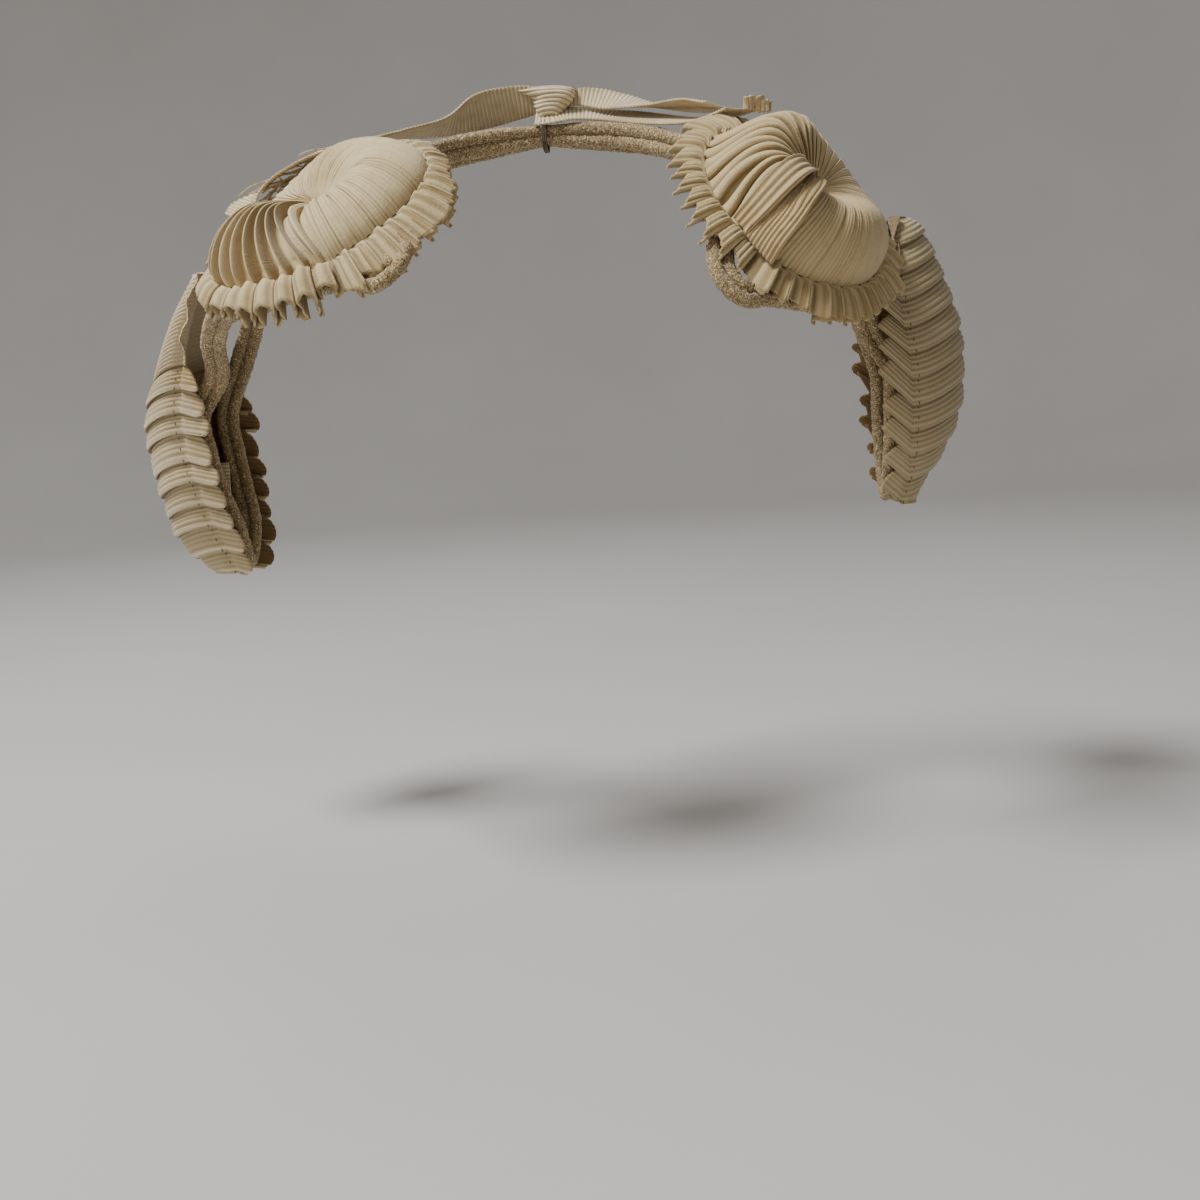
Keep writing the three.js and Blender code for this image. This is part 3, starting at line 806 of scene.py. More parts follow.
def tubes(name: str, paths: list[Array], radius: float, sides: int = 5) -> Piece:
    """Build round threads along paths, as one object.

    Args:
        name: Name of the new object.
        paths: The points of each thread, in millimetres.
        radius: Their radius, in millimetres.
        sides: How many sides they have.

    Returns:
        The new object.
    """
    around = np.linspace(0, 2 * math.pi, sides, endpoint=False)
    points, faces, start = [], [], 0
    for path in paths:
        along = unit(np.gradient(path, axis=0))
        guess = np.where(np.abs(along[:, 2:3]) > 0.9, np.array([[1.0, 0, 0]]), np.array([[0, 0, 1.0]]))
        side = unit(np.cross(along, guess))
        up = np.cross(side, along)
        ring = path[:, None] + radius * (
            np.cos(around)[None, :, None] * side[:, None] + np.sin(around)[None, :, None] * up[:, None]
        )
        after = start + len(path) * sides
        ends = [list(range(start, start + sides)), list(range(after - sides, after))[::-1]]
        points.append(ring.reshape(-1, 3))
        faces += Weave(ring, closed=True).faces(start, False).tolist() + ends
        start = after
    return add_mesh(name, np.vstack(points), faces)


# Pleats

OPEN_CORE = 0.75
OVERLAP = 1.1
EYE_DIMPLE = (1.4, 2.2)
STITCH_ARCH = (0.1, 0.52, 0.52, 0.1)


class Fold(Enum):
    """How a pleat stands: its outline over one pleat, as run, side step and height."""

    KNIFE = (
        (0.0, 0.18, 0.45, 0.70, 0.78, 0.86, 1.0),
        (-0.05, 0.2, 0.6, 1.02, 1.12, 1.06, 0.95),
        (0.06, 0.5, 0.86, 1.0, 0.82, 0.5, 0.06),
    )
    GILL = (
        (0.0, 0.28, 0.44, 0.54, 0.62, 0.72, 0.82, 0.91, 1.0),
        (0.0, 0.40, 0.60, 0.66, 0.68, 0.80, 0.90, 0.93, 1.0),
        (0.0, 0.10, 0.30, 0.68, 0.94, 1.02, 0.72, 0.24, 0.0),
    )
    WAVE = (
        (0.0, 0.12, 0.35, 0.62, 0.82, 0.92, 1.0),
        (0.0, 0.08, 0.36, 0.78, 1.08, 1.14, 1.0),
        (0.0, 0.42, 0.86, 1.02, 0.74, 0.34, 0.0),
    )
    LOOP = (
        (0.0, 0.10, 0.22, 0.38, 0.50, 0.62, 0.78, 0.90, 1.0),
        (0.0, 0.20, 0.16, 0.22, 0.62, 1.02, 0.98, 0.82, 1.0),
        (0.0, 0.08, 0.40, 0.82, 1.0, 0.82, 0.42, 0.10, 0.0),
    )
    STACK = (
        (0.0, 0.34, 0.50, 0.58, 0.74, 0.88, 1.0),
        (0.0, 0.75, 1.24, 1.30, 0.94, 0.76, 1.0),
        (0.05, 0.55, 1.0, 0.86, 0.42, 0.12, 0.05),
    )

    def outline(self, count: int) -> tuple[Array, Array]:
        """Return the side steps and heights at evenly spaced runs of one pleat.

        Args:
            count: How many places to read.

        Returns:
            The side step at each place in pleat widths, and its height from 0 to 1.
        """
        runs, sides, heights = (np.array(column) for column in self.value)
        at = np.interp(np.arange(count) / count, runs, np.arange(len(runs)))
        table = through_rows(np.stack([sides, heights], axis=1), at)
        return table[:, 0], table[:, 1]


@dataclass
class Rosette:
    """A ring of pleats drawn in to an eye and stitched down at its rim, with a free ruffle outside.

    Attributes:
        wing: Name of the wing that it belongs to.
        centre: Middle of its rim, in millimetres.
        azimuth: Which way it faces, in degrees.
        elevation: How far up it faces, in degrees.
        semi_long: Longer half width of its rim.
        semi_short: Shorter half width of its rim.
        turn: Bearing of the longer half width.
        crown: Height of its pleats over the rim.
        eye_height: Height of its eye over the rim.
        eye_shift: How far its eye lies off the middle, both ways.
        ruffle: Reach of the ruffle past the stitching.
        pleats: How many pleats it has.
        swirls: Bearings at the rim, and how far the pleats there have turned where they meet the eye.
        ribs: Bearings, and how strongly the ribs show there.
        loose_bearing: Bearing of the middle of its loose pleats.
        loose_spread: How far the loose pleats reach to each side, in degrees.
        loose_lift: How much higher the loose pleats stand.
        depths: Depth of the tight pleats and of the loose ones.
        ruffle_depths: Depth of the ruffle's folds at the tight pleats and at the loose ones.
        open_zone: Bearing of the middle of the open folds, and how far they reach to each side.
        folds: Outlines of the open folds on the crown and in the ruffle.
        notch: Depth of the notches between the ruffle's tabs at the tight pleats and the open ones.
        slouch: How far the open folds slope down to the rim instead of standing, from 0 to 1.
        seam: Bearing and width of the painted shadow line beside the open folds.
        open_fold_shade: How much more painted shade the creases of the open folds get.
        swell: How far the loose pleats swell out past the crown, in millimetres.
        dip: How far the crown drops at its back, its bearing there and how far the drop reaches.
        waver: How far the open folds waver from side to side, in degrees.
        stretch: How far the rim is pulled out, the bearing there and how far the pull reaches.
        reach: Share by which the ruffle is longer, the bearing there and how far that reaches.
        hang: How far the ruffle hangs down, and the bearing where it hangs most.
        seed: Seed of its small differences.
        crest_share: Share of the rim's distance at which the crown is highest.
        stitch_reach: Share of the rim's distance at which the stitching lies.
        drape_radius: Radius of the sphere over which the whole rosette curves, in millimetres.
        pleat_samples: How many columns of points each pleat has.
        rib_height: How far a rib stands out, in millimetres.
    """

    wing: str
    centre: Triple
    azimuth: float
    elevation: float
    semi_long: float
    semi_short: float
    turn: float
    crown: float
    eye_height: float
    eye_shift: tuple[float, float]
    ruffle: float
    pleats: int
    swirls: Rows
    ribs: Rows
    loose_bearing: float
    loose_spread: float
    loose_lift: float
    depths: tuple[float, float]
    ruffle_depths: tuple[float, float]
    open_zone: tuple[float, float]
    folds: tuple[Fold, Fold]
    notch: tuple[float, float]
    slouch: float
    seam: tuple[float, float]
    open_fold_shade: float
    swell: float
    dip: Triple
    waver: float
    stretch: Triple
    reach: Triple
    hang: tuple[float, float]
    seed: int
    crest_share: float = 0.6
    stitch_reach: float = 1.02
    drape_radius: float = 80.0
    pleat_samples: int = 24
    rib_height: float = 0.13

    def axes(self) -> tuple[Array, Array, Array]:
        """Work out the rosette's own across, back and up directions.

        Returns:
            The three directions, each of length one.
        """
        azimuth, elevation = math.radians(self.azimuth), math.radians(self.elevation)
        level = math.cos(elevation)
        up = np.array([math.sin(azimuth) * level, -math.cos(azimuth) * level, math.sin(elevation)])
        across = unit(np.cross([0.0, 1.0, 0.0], up))
        return across, np.cross(up, across), up

    def rim(self, bearing: Array) -> Array:
        """Measure from the middle to the rim.

        Args:
            bearing: Bearings in degrees.

        Returns:
            The distance at each bearing, in millimetres.
        """
        angle = np.radians(bearing - self.turn)
        long, short = self.semi_long, self.semi_short
        more, middle, spread = self.stretch
        oval = long * short / np.hypot(short * np.cos(angle), long * np.sin(angle))
        return oval + more * zone(bearing, middle, spread)

    def looseness(self, bearing: Array) -> Array:
        """Return how loose the pleats are at each bearing, from 0 to 1."""
        return zone(bearing, self.loose_bearing, self.loose_spread)

    def swirl(self, bearing: Array) -> Array:
        """Return how far the pleats that end at each bearing turn on their way to the eye."""
        at, turned = np.array(self.swirls).T
        return np.interp(bearing % 360.0, at, turned)

    def profile(self, bearing: Array, place: Array) -> tuple[Array, Array, Array]:
        """Return the crown's outline over a bearing.

        Args:
            bearing: Bearings in degrees.
            place: 0 at the eye, 1 at the crest, 2 at the stitching and 3 at the ruffle's edge.

        Returns:
            The share of the rim's distance, the extra distance past the rim, and the height.
        """
        drop, lowest, spread = self.dip
        crest = self.crown * (1.0 + self.loose_lift * self.looseness(bearing))
        crest = crest - drop * zone(bearing, lowest, spread)
        climb = 0.5 - 0.5 * np.cos(np.pi * np.clip(place, 0, 1))
        rising = self.eye_height + (crest - self.eye_height) * climb
        angle = np.radians(90.0 * (2.0 - np.clip(place, 1, 2)))
        outer = self.crest_share + (self.stitch_reach - self.crest_share) * np.cos(angle)
        slope = self.slouch * zone(bearing, *self.open_zone, OPEN_CORE)
        wall = np.clip(place - 1.0, 0.0, 1.0)
        gentle = self.crest_share + (self.stitch_reach - self.crest_share) * wall
        share = np.where(place <= 1, self.crest_share * place, outer * (1 - slope) + gentle * slope)
        falling = np.sin(angle) * (1 - slope) + (0.5 + 0.5 * np.cos(np.pi * wall)) * slope
        height = np.where(place <= 1, rising, crest * falling)
        more, middle, spread = self.reach
        ruffle = self.ruffle * (1.0 + more * zone(bearing, middle, spread))
        return share, np.clip(place - 2.0, 0, None) * ruffle, height

    def place_points(self, bearing: Array, place: Array, offset: Array) -> Array:
        """Return points of the rosette.

        Args:
            bearing: Bearings at the rim, in degrees.
            place: Places along the outline, as in profile.
            offset: Distance out from the outline, in millimetres.

        Returns:
            Their places in millimetres.
        """
        step = 0.02
        share = self.profile(bearing, place)[0]
        inner = np.maximum(0.0, 1.0 - share)
        turned = bearing + self.swirl(bearing) * inner
        share, extra, height = self.profile(turned, place)
        share_a, extra_a, height_a = self.profile(turned, place - step)
        share_b, extra_b, height_b = self.profile(turned, place + step)
        run = (share_b - share_a) * self.rim(turned) + extra_b - extra_a
        length = np.hypot(run, height_b - height_a)
        out, rise = (height_a - height_b) / length, run / length
        free = smooth(place, 1.9, 2.15)
        out, rise = out * (1 - free), rise * (1 - free) + free
        angle = np.radians(turned)
        distance = share * self.rim(turned) + extra + out * offset
        x = np.cos(angle) * distance + self.eye_shift[0] * inner
        y = np.sin(angle) * distance + self.eye_shift[1] * inner
        fallen, lowest = self.hang
        hanging = 0.5 + 0.5 * np.cos(np.radians(bearing - lowest))
        z = height + rise * offset - (x * x + y * y) / (2 * self.drape_radius)
        z = z - fallen * hanging * np.clip(place - 2.0, 0, None) ** 1.4
        dimple, wide = EYE_DIMPLE
        z = z - dimple * np.exp(-((distance / wide) ** 2))
        across, back, up = self.axes()
        return np.array(self.centre) + x[..., None] * across + y[..., None] * back + z[..., None] * up

    def pleat_table(self) -> tuple[Array, Array, Array]:
        """Lay the pleats round the eye.

        Returns:
            Each pleat's first bearing, its width in degrees and its own random number.
        """
        rng = np.random.default_rng(self.seed)
        even = (np.arange(self.pleats) + 0.5) * 360.0 / self.pleats
        widths = (1.0 + 0.2 * self.looseness(even)) * rng.uniform(0.84, 1.16, self.pleats)
        widths *= 360.0 / widths.sum()
        starts = np.concatenate([[0.0], np.cumsum(widths)[:-1]])
        return starts, widths, rng.uniform(-1.0, 1.0, self.pleats)

    def fold_shapes(self, share: Array, free: Array) -> Array:
        """Mix the outlines of the tight and the open folds, on the crown and in the ruffle.

        Args:
            share: How open each column's pleat is, from 0 to 1.
            free: How far each row lies past the stitching, from 0 to 1.

        Returns:
            The side step at each point, and then the height.
        """
        tight, opened = (
            [np.tile(fold.outline(self.pleat_samples), self.pleats) for fold in pair]
            for pair in ((Fold.KNIFE, Fold.STACK), self.folds)
        )
        crown, ruffle = (under * (1 - share) + over * share for under, over in zip(tight, opened))
        return crown[:, None] * (1 - free) + ruffle[:, None] * free

    def fold_depth(self, place: Array, free: Array, loose: Array, chance: Array) -> Array:
        """Work out how deep the folds are.

        Args:
            place: Places along the outline, one to a row.
            free: How far each row lies past the stitching, from 0 to 1.
            loose: How open each column's pleat is, from 0 to 1.
            chance: The random number of each column's pleat.

        Returns:
            The depth at each point, in millimetres.
        """
        depth = between(self.depths, loose)
        depth = depth * (1 + (0.5 - 0.3 * loose) * chance) * (0.15 + 0.85 * smooth(place, 0.0, 0.6))
        depth = depth * (1 - 0.5 * smooth(place, 1.7, 2.0) * (1 - self.slouch * loose))
        ruffle = between(self.ruffle_depths, loose)
        ruffle = ruffle * (1 + 0.35 * chance) * (0.7 + 0.3 * smooth(place, 2.1, 2.6))
        return depth * (1 - free) + ruffle * free

    def rib_strength(self, place: Array, free: Array, middles: Array) -> Array:
        """Work out how strongly the ribs show.

        Args:
            place: Places along the outline, one to a row.
            free: How far each row lies past the stitching, from 0 to 1.
            middles: The bearing of each pleat's middle.

        Returns:
            The strength at each point, from 0 to about 1.
        """
        strength = np.interp(middles % 360.0, *np.array(self.ribs).T).repeat(self.pleat_samples)
        ribs = len(strength) // RIB_SAMPLES
        single = np.random.default_rng(self.seed + 50).uniform(0.25, 1.2, ribs)
        strength = strength * single.repeat(RIB_SAMPLES)
        return smooth(place, 0.05, 0.5) * (strength + (1.0 - strength) * free)

    def weave(self) -> Weave:
        """Pleat the whole ribbon, from the eye to the ruffle's edge.

        Returns:
            The grid of its points.
        """
        starts, widths, chances = self.pleat_table()
        middles = starts + widths / 2
        openness = zone(middles, *self.open_zone, OPEN_CORE)
        count, ribs = self.pleat_samples, self.pleat_samples // RIB_SAMPLES
        start, width, chance, loose = np.repeat([starts, widths, chances, openness], count, axis=1)
        stretches = ((0.05, 1.9, 40), (1.95, 2.07, 4), (2.2, 3.0, 9))
        place = np.concatenate([np.linspace(*stretch) for stretch in stretches])[:, None]
        share = smooth(loose, 0.05, 0.5)
        free = smooth(place, 1.98, 2.22)
        side, height = self.fold_shapes(share, free)
        depth = self.fold_depth(place, free, loose, chance)
        ribbed = self.rib_strength(place, free, middles)
        sway = 1.6 * chance * smooth(place, 0.3, 1.2) * (1 - 0.5 * free)
        wavering = self.waver * loose * np.sin(4.2 * place + 1.3 * chance)
        sway = sway + wavering * (1 - free) * smooth(place, 0.2, 0.9)
        run = np.arange(self.pleats * count) / count
        rib = np.cos(2 * np.pi * ribs * run) * self.rib_height * ribbed * (1 + 0.9 * free)
        radius = np.maximum(3.0, place * 0.42 * self.semi_long)
        step = np.gradient(side, axis=1) * np.radians(width) * radius
        climb = np.gradient(height, axis=1) * depth
        slope = np.hypot(step, climb) + 1e-6
        bulge = self.swell * loose * np.sin(np.pi * np.clip(place - 0.7, 0, 1.3) / 1.3)
        offset = depth * (height - 0.5 - 0.2 * share * (1 - free) + 0.2 * free)
        offset = offset + rib * step / slope + bulge * (1 - free)
        sideways = np.degrees(-rib * climb / slope / radius)
        tooth = between(self.notch, loose) * (np.clip(side, 0, OVERLAP) - 0.5)
        ragged = smooth(place, 2.1, 3.0) * (tooth + 0.9 * chance)
        reach = place + ragged / self.ruffle
        angles = start + side * width + sway + sideways
        points = self.place_points(angles, reach, offset)
        along, over = run * RIB_PITCH * ribs, place * OUTLINE_STEP
        lap = self.pleats * ribs * RIB_PITCH
        # Painted shade on the steep flanks of the folds on the crown and in the low valleys of the ruffle,
        # and a painted shadow line at the seam.
        steep = smooth(np.abs(climb) / slope, 0.72, 1.0) * (0.45 + self.open_fold_shade * loose + 0.15 * chance)
        low = 0.6 * (1 - smooth(height, 0.05, 0.45))
        painted_shading = (steep * smooth(place, 0.1, 0.5) * (1 - free) + low * free) * (1 - smooth(place, 2.85, 3.0))
        painted_shading = np.maximum(painted_shading, self.seam_shadow_share(angles, place))
        return Weave(points, along, over, closed=True, flip=True, lap=lap, ribbed=ribbed, painted_shading=painted_shading)

    def seam_shadow_share(self, bearing: Array, place: Array) -> Array:
        """Paint a shadow line at the joint between the loose pleats and the tight ones.

        Args:
            bearing: Bearings at the rim, in degrees.
            place: Places along the outline, as in profile.

        Returns:
            The share at each point.
        """
        middle, width = self.seam
        if not width:
            return np.zeros(np.broadcast_shapes(bearing.shape, place.shape))
        turned = bearing + self.swirl(bearing) * np.maximum(0.0, 1.0 - self.profile(bearing, place)[0])
        return 0.85 * np.exp(-(((turned - middle) / width) ** 2)) * (1 - smooth(place, 1.9, 2.2))

    def stitches(self) -> list[Array]:
        """Lay the stitches along the rim.

        Returns:
            The path of each stitch, in millimetres.
        """
        starts, widths, _ = self.pleat_table()
        bearings = starts[:, None] + widths[:, None] * np.linspace(0.55, 0.85, 4)
        return list(self.place_points(bearings, np.full(bearings.shape, 2.0), np.array(STITCH_ARCH)))

    def build(self, finishes: Finishes) -> None:
        """Build the rosette's ribbon and its stitches.

        Args:
            finishes: The materials.
        """
        weave = self.weave()
        rows = len(weave.points)
        gathered = smooth(np.arange(rows) / rows, 0.78, 0.9)[:, None, None]
        thin = 0.06
        piece = weave.mesh(f"{self.wing}_rosette_ribbon", thin + gathered * (RIBBON_THICKNESS - thin))
        dress(piece, "ribbon", finishes.rosettes[self.wing], finishes.strip, node=f"{self.wing}_rosette")
        thread = tubes(f"{self.wing}_rosette_stitches", self.stitches(), 0.13)
        dress(thread, "tie_thread", finishes.stitch)


# Side petals

ARCH_COLUMNS = 33
FLAP_COLUMNS = 8


@dataclass
class Petal:
    """An arched leaf of pleated ribbon over the temple, with a ruffle along both edges.

    Attributes:
        wing: Name of the wing that it belongs to.
        side: -1 on the photograph's left and 1 on its right.
        pitches: Height of each pleat, from the top down, in millimetres.
        slant: How far the crest of a fold lies over its ends.
        flange: Reach of the ruffles.
        flange_top: Height at which the ruffles start.
        rows: Height, stitched edge, crest, middle and half depth, from the top down.
        depth: How far a fold stands over the next, in millimetres.
        droop: How far the ruffles hang down at their ends, in millimetres.
        step: How far the lower end of each of the ruffle's tabs stands out, in millimetres.
        rounding: How far the middle of each tab stands out, in millimetres.
        highlight_strength: How much painted highlight its fold edges and plain top get, from 0 to 1.
        contrast: How strongly its ribs show, from 0 to 1.
        seed: Seed of its small differences.
        pleat_samples: How many rows of points each pleat has.
        rib_height: How far a rib stands out, in millimetres.
    """

    wing: str
    side: int
    pitches: tuple[float, ...]
    slant: float
    flange: float
    flange_top: float
    rows: Rows
    depth: float
    droop: float
    step: float
    rounding: float
    highlight_strength: float
    contrast: float
    seed: int
    pleat_samples: int = 32
    rib_height: float = 0.14

    def level(self, height: Array) -> dict[str, Array]:
        """Read the petal's sizes at some heights.

        Args:
            height: The heights, in millimetres.

        Returns:
            The stitched edge, crest, middle and half depth at each.
        """
        dense = through_rows(np.array(self.rows), np.linspace(0, len(self.rows) - 1, 600))
        columns = enumerate(("edge", "crest", "middle", "half"), 1)
        return {name: np.interp(-height, -dense[:, 0], dense[:, column]) for column, name in columns}

    def plain_count(self) -> int:
        """Return how many rows of points lie above the first pleat."""
        plain = self.rows[0][0] - self.rows[-1][0] - sum(self.pitches)
        return max(1, round(plain / ROW_STEP))

    def stations(self) -> tuple[Array, ...]:
        """Return the rows of the ribbon, from the top down.

        Returns:
            Each row's height, its offset, its rib, its place in the pleat, its pleat's random number, and how
            near it lies to the fold's edge.
        """
        rng = np.random.default_rng(self.seed)
        bottom, top = self.rows[-1][0], self.rows[0][0]
        pleat_top = bottom + sum(self.pitches)
        count = self.pleat_samples
        plain = top - np.arange(self.plain_count()) * ROW_STEP
        side, rise = Fold.KNIFE.outline(count)
        flat = 0 * plain
        tables = [(plain, flat, flat, flat, flat)]
        start = pleat_top
        for pitch in self.pitches:
            offset = self.depth * rng.uniform(0.8, 1.25) * (rise - 0.5)
            chance = np.full(count, rng.uniform(-1, 1))
            tooth = np.clip(side, 0, OVERLAP) / OVERLAP
            tables.append((start - side * pitch, offset, tooth, chance, smooth(rise, 0.98, 1.0)))
            start -= pitch
        height, offset, tooth, chance, crest = np.concatenate(tables, axis=1)
        rib = self.rib_height * np.cos(np.pi / 2 * (np.arange(len(height)) - len(plain)))
        return height, offset, rib, tooth, chance, crest

    def tab_reaches(self, height: Array, tooth: Array, chance: Array, window: Array) -> tuple[Array, Array]:
        """Work out how far the tabs of the ruffles reach.

        Args:
            height: The height of each row.
            tooth: Its place in its tab, from 0 to 1.
            chance: Its pleat's random number.
            window: How near it lies to the middle of the petal, from 0 to 1.

        Returns:
            The reach of each row in front and at the back, in millimetres.
        """
        grown = 0.3 + 0.7 * smooth(self.flange_top - height, -5, 5)
        rounded = np.sqrt(np.clip(np.sin(np.pi * tooth), 0, 1))
        long = self.flange * (0.5 + 0.5 * window)
        front = grown * (long + self.step * (tooth - 0.5) + self.rounding * (rounded - 0.6) + 0.5 * chance)
        back = grown * (1.4 * long + 2.2 * (rounded - 0.6) + 0.7 * chance)
        return front, back

    def arch(self, sizes: list[Array], height: Array, push: Array, window: Array) -> Array:
        """Lay the ribbon over the arch, from the front seam to the back one.

        Args:
            sizes: The stitched edge, crest, middle and half depth of each row.
            height: The height of each row.
            push: How far each row stands out from the arch, in millimetres.
            window: How near each row lies to the middle of the petal, from 0 to 1.

        Returns:
            The points, in millimetres.
        """
        edge, crest_line, middle, half = sizes
        theta = np.radians(np.linspace(0, 180, ARCH_COLUMNS))
        arch_height = crest_line - edge
        normal_out, normal_side = np.sin(theta) * half, -np.cos(theta) * arch_height
        length = np.hypot(normal_out, normal_side)
        out = push - 0.55 * (1 - smooth(np.sin(theta), 0.0, 0.3))
        x = edge + arch_height * np.sin(theta) + normal_out / length * out
        y = middle - half * np.cos(theta) + normal_side / length * out
        bend = np.sin(theta) ** 1.7 * (self.slant * window)[:, None]
        return np.stack([x, y, height[:, None] + bend], axis=-1)

    def weave(self) -> Weave:
        """Pleat the ribbon, from its front ruffle over the arch to its back ruffle.

        Returns:
            The grid of its points.
        """
        height, offset, rib, tooth, chance, crest = self.stations()
        top, bottom = self.rows[0][0], self.rows[-1][0]
        sizes = [values[:, None] for values in self.level(height).values()]
        window = np.sqrt(np.clip(np.sin(np.pi * np.clip((top - height) / (top - bottom), 0, 1)), 0, 1))
        reach, reach_back = self.tab_reaches(height, tooth, chance, window)
        slope_height, slope_offset = np.gradient(height), np.gradient(offset)
        steep = np.hypot(slope_height, slope_offset) + 1e-6
        push = (offset + rib * np.abs(slope_height) / steep)[:, None]
        height = height + rib * slope_offset / steep
        arch = self.arch(sizes, height, push, window)
        edge, _, middle, half = sizes
        free = np.linspace(1, 0, FLAP_COLUMNS + 1)[:-1]
        plain = 1 - smooth(self.flange_top + 4 - height, -6, 2)[:, None]
        ragged = (0.4 * np.sin(height * 0.8) + 0.08 * np.sin(height * 2.3 + 1.0))[:, None] * plain * free
        curl = plain * free * 1.8 + ragged
        spread = free * (0.6 + 0.35 * chance[:, None]) * (1 - plain)
        flap = edge - reach[:, None] * free
        hanging = (0.4 * chance[:, None] - self.droop * reach[:, None] / self.flange) * free * (1 - plain)
        tilt = height[:, None] + hanging
        stand = push * (0.7 + 0.5 * free) + spread
        front = np.stack([flap + curl, middle - half - stand - curl * 0.7, tilt], axis=-1)
        back = np.stack([edge - reach_back[:, None] * free, middle + half + stand, tilt], axis=-1)[:, ::-1]
        points = np.concatenate([front, arch, back], axis=1) * np.array([self.side, 1, 1])
        run = (np.arange(len(height)) - self.plain_count())[:, None] * ROW_STEP
        over = np.linspace(0, PETAL_RIBBON, points.shape[1])
        # Painted shade on the steep flanks of the folds, less painted highlight on the fold edges and, more
        # faintly, over the plain top.
        painted_shading = (0.9 * smooth(np.abs(slope_offset) / steep, 0.6, 0.93) * (0.8 + 0.2 * chance))[:, None]
        painted_shading = painted_shading - self.highlight_strength * (crest[:, None] + 0.35 * plain)
        ribbed = self.contrast * (1 - 0.4 * plain)
        return Weave(points, run, over, flip=self.side > 0, ribbed=ribbed, painted_shading=painted_shading)

    def stitches(self, points: Array) -> list[Array]:
        """Return the path of each stitch along the front seam.

        Args:
            points: The ribbon's points.

        Returns:
            The path of each stitch, in millimetres.
        """
        seam = points[:, FLAP_COLUMNS + 1] + np.array([0.0, -0.22, 0.0])
        starts = range(self.plain_count() + 6, len(seam) - 8, self.pleat_samples // 4)
        return [seam[first : first + 3] for first in starts]

    def cord_row(self, height: float, sign: int) -> tuple[float, ...]:
        """Return a row of the cords' route inside one edge of the petal.

        Args:
            height: The row's height.
            sign: 1 for the front edge and -1 for the back.

        Returns:
            Its x, y and z, how flat the pair lies, and its girth.
        """
        at = self.level(np.array([height]))
        out, depth = 3.0, 3.9
        x = self.side * (at["edge"][0] - out)
        return x, at["middle"][0] + sign * (depth - at["half"][0]), height, 0.0, 1.0

    def build(self, finishes: Finishes) -> None:
        """Build the petal's ribbon and its stitches.

        Args:
            finishes: The materials.
        """
        weave = self.weave()
        piece = weave.mesh(f"{self.wing}_petal_ribbon", RIBBON_THICKNESS)
        dress(piece, "ribbon", finishes.petals[self.wing], finishes.inside, node=f"{self.wing}_petal")
        thread = tubes(f"{self.wing}_petal_stitches", self.stitches(weave.points), 0.09)
        dress(thread, "tie_thread", finishes.stitch)


# Cords


@dataclass
class Wing:
    """One loop of double velvet cord, from the tie round the rosette and petal and back.

    Attributes:
        name: Name of the wing.
        petal: The petal whose edges the cords follow.
        front: Rows from the tie to the petal: x, y, z, how flat the pair lies, and its girth.
        petal_levels: Heights of the rows inside the petal's edges.
        tip: The row at the petal's tip.
        back: Rows from the petal back to the tie.
        seed: Seed of its pile.
    """

    name: str
    petal: Petal
    front: Rows
    petal_levels: tuple[float, ...]
    tip: tuple[float, ...]
    back: Rows
    seed: int

    def route(self) -> Array:
        """Lay out the whole loop.

        Returns:
            One row of values for each step.
        """
        down = [self.petal.cord_row(z, 1) for z in self.petal_levels]
        up = [self.petal.cord_row(z, -1) for z in reversed(self.petal_levels)]
        return np.array([*self.front, *down, self.tip, *up, *self.back], float)

    def build(self, finishes: Finishes) -> None:
        """Build the two cords of the loop.

        Args:
            finishes: The materials.
        """
        rows = self.route()
        position = even_positions(rows[:, :3], CORD_STEP)
        centre = through_points(rows[:, :3], position)
        flat, girth = through_rows(rows[:, 3:], position).T
        along = unit(np.gradient(centre, axis=0))
        outward = unit(centre - HOLLOW_CENTRE)
        side = unit(np.cross(along, outward))
        stand = np.cross(side, along)
        angle = np.radians(flat)[:, None]
        long = stand * np.cos(angle) + side * np.sin(angle)
        short = np.cross(along, long)
        rng = np.random.default_rng(self.seed)
        turns = 18
        for label, sign in (("outer", 1), ("inner", -1)):
            middle = centre + long * (sign * CORD_SPACING / 2 * girth[:, None])
            around = np.linspace(0, 2 * math.pi, turns, endpoint=False)
            tufts = rng.normal(0, 1, (len(middle), turns))
            tufts = (tufts + np.roll(tufts, 1, axis=1) * 0.5 + np.roll(tufts, 1, axis=0) * 0.5) / 1.2
            inward = np.clip(-sign * np.cos(around), 0, 1) ** 2 * 0.16
            radius = (CORD_RADIUS - 0.08 + inward + 0.10 * np.clip(tufts, -1.4, 1.8)) * girth[:, None]
            ring = middle[:, None] + radius[..., None] * (
                np.cos(around)[None, :, None] * long[:, None] + np.sin(around)[None, :, None] * short[:, None]
            )
            run = np.arange(len(middle))[:, None] * CORD_STEP
            lap = 2 * math.pi * CORD_RADIUS
            weave = Weave(ring, around * CORD_RADIUS, run, closed=True, flip=True, lap=lap)
            piece = weave.mesh(f"{self.name}_{label}_cord")
            dress(piece, "velvet_cord", finishes.pile, node=f"{self.name}_frame")


# Bow


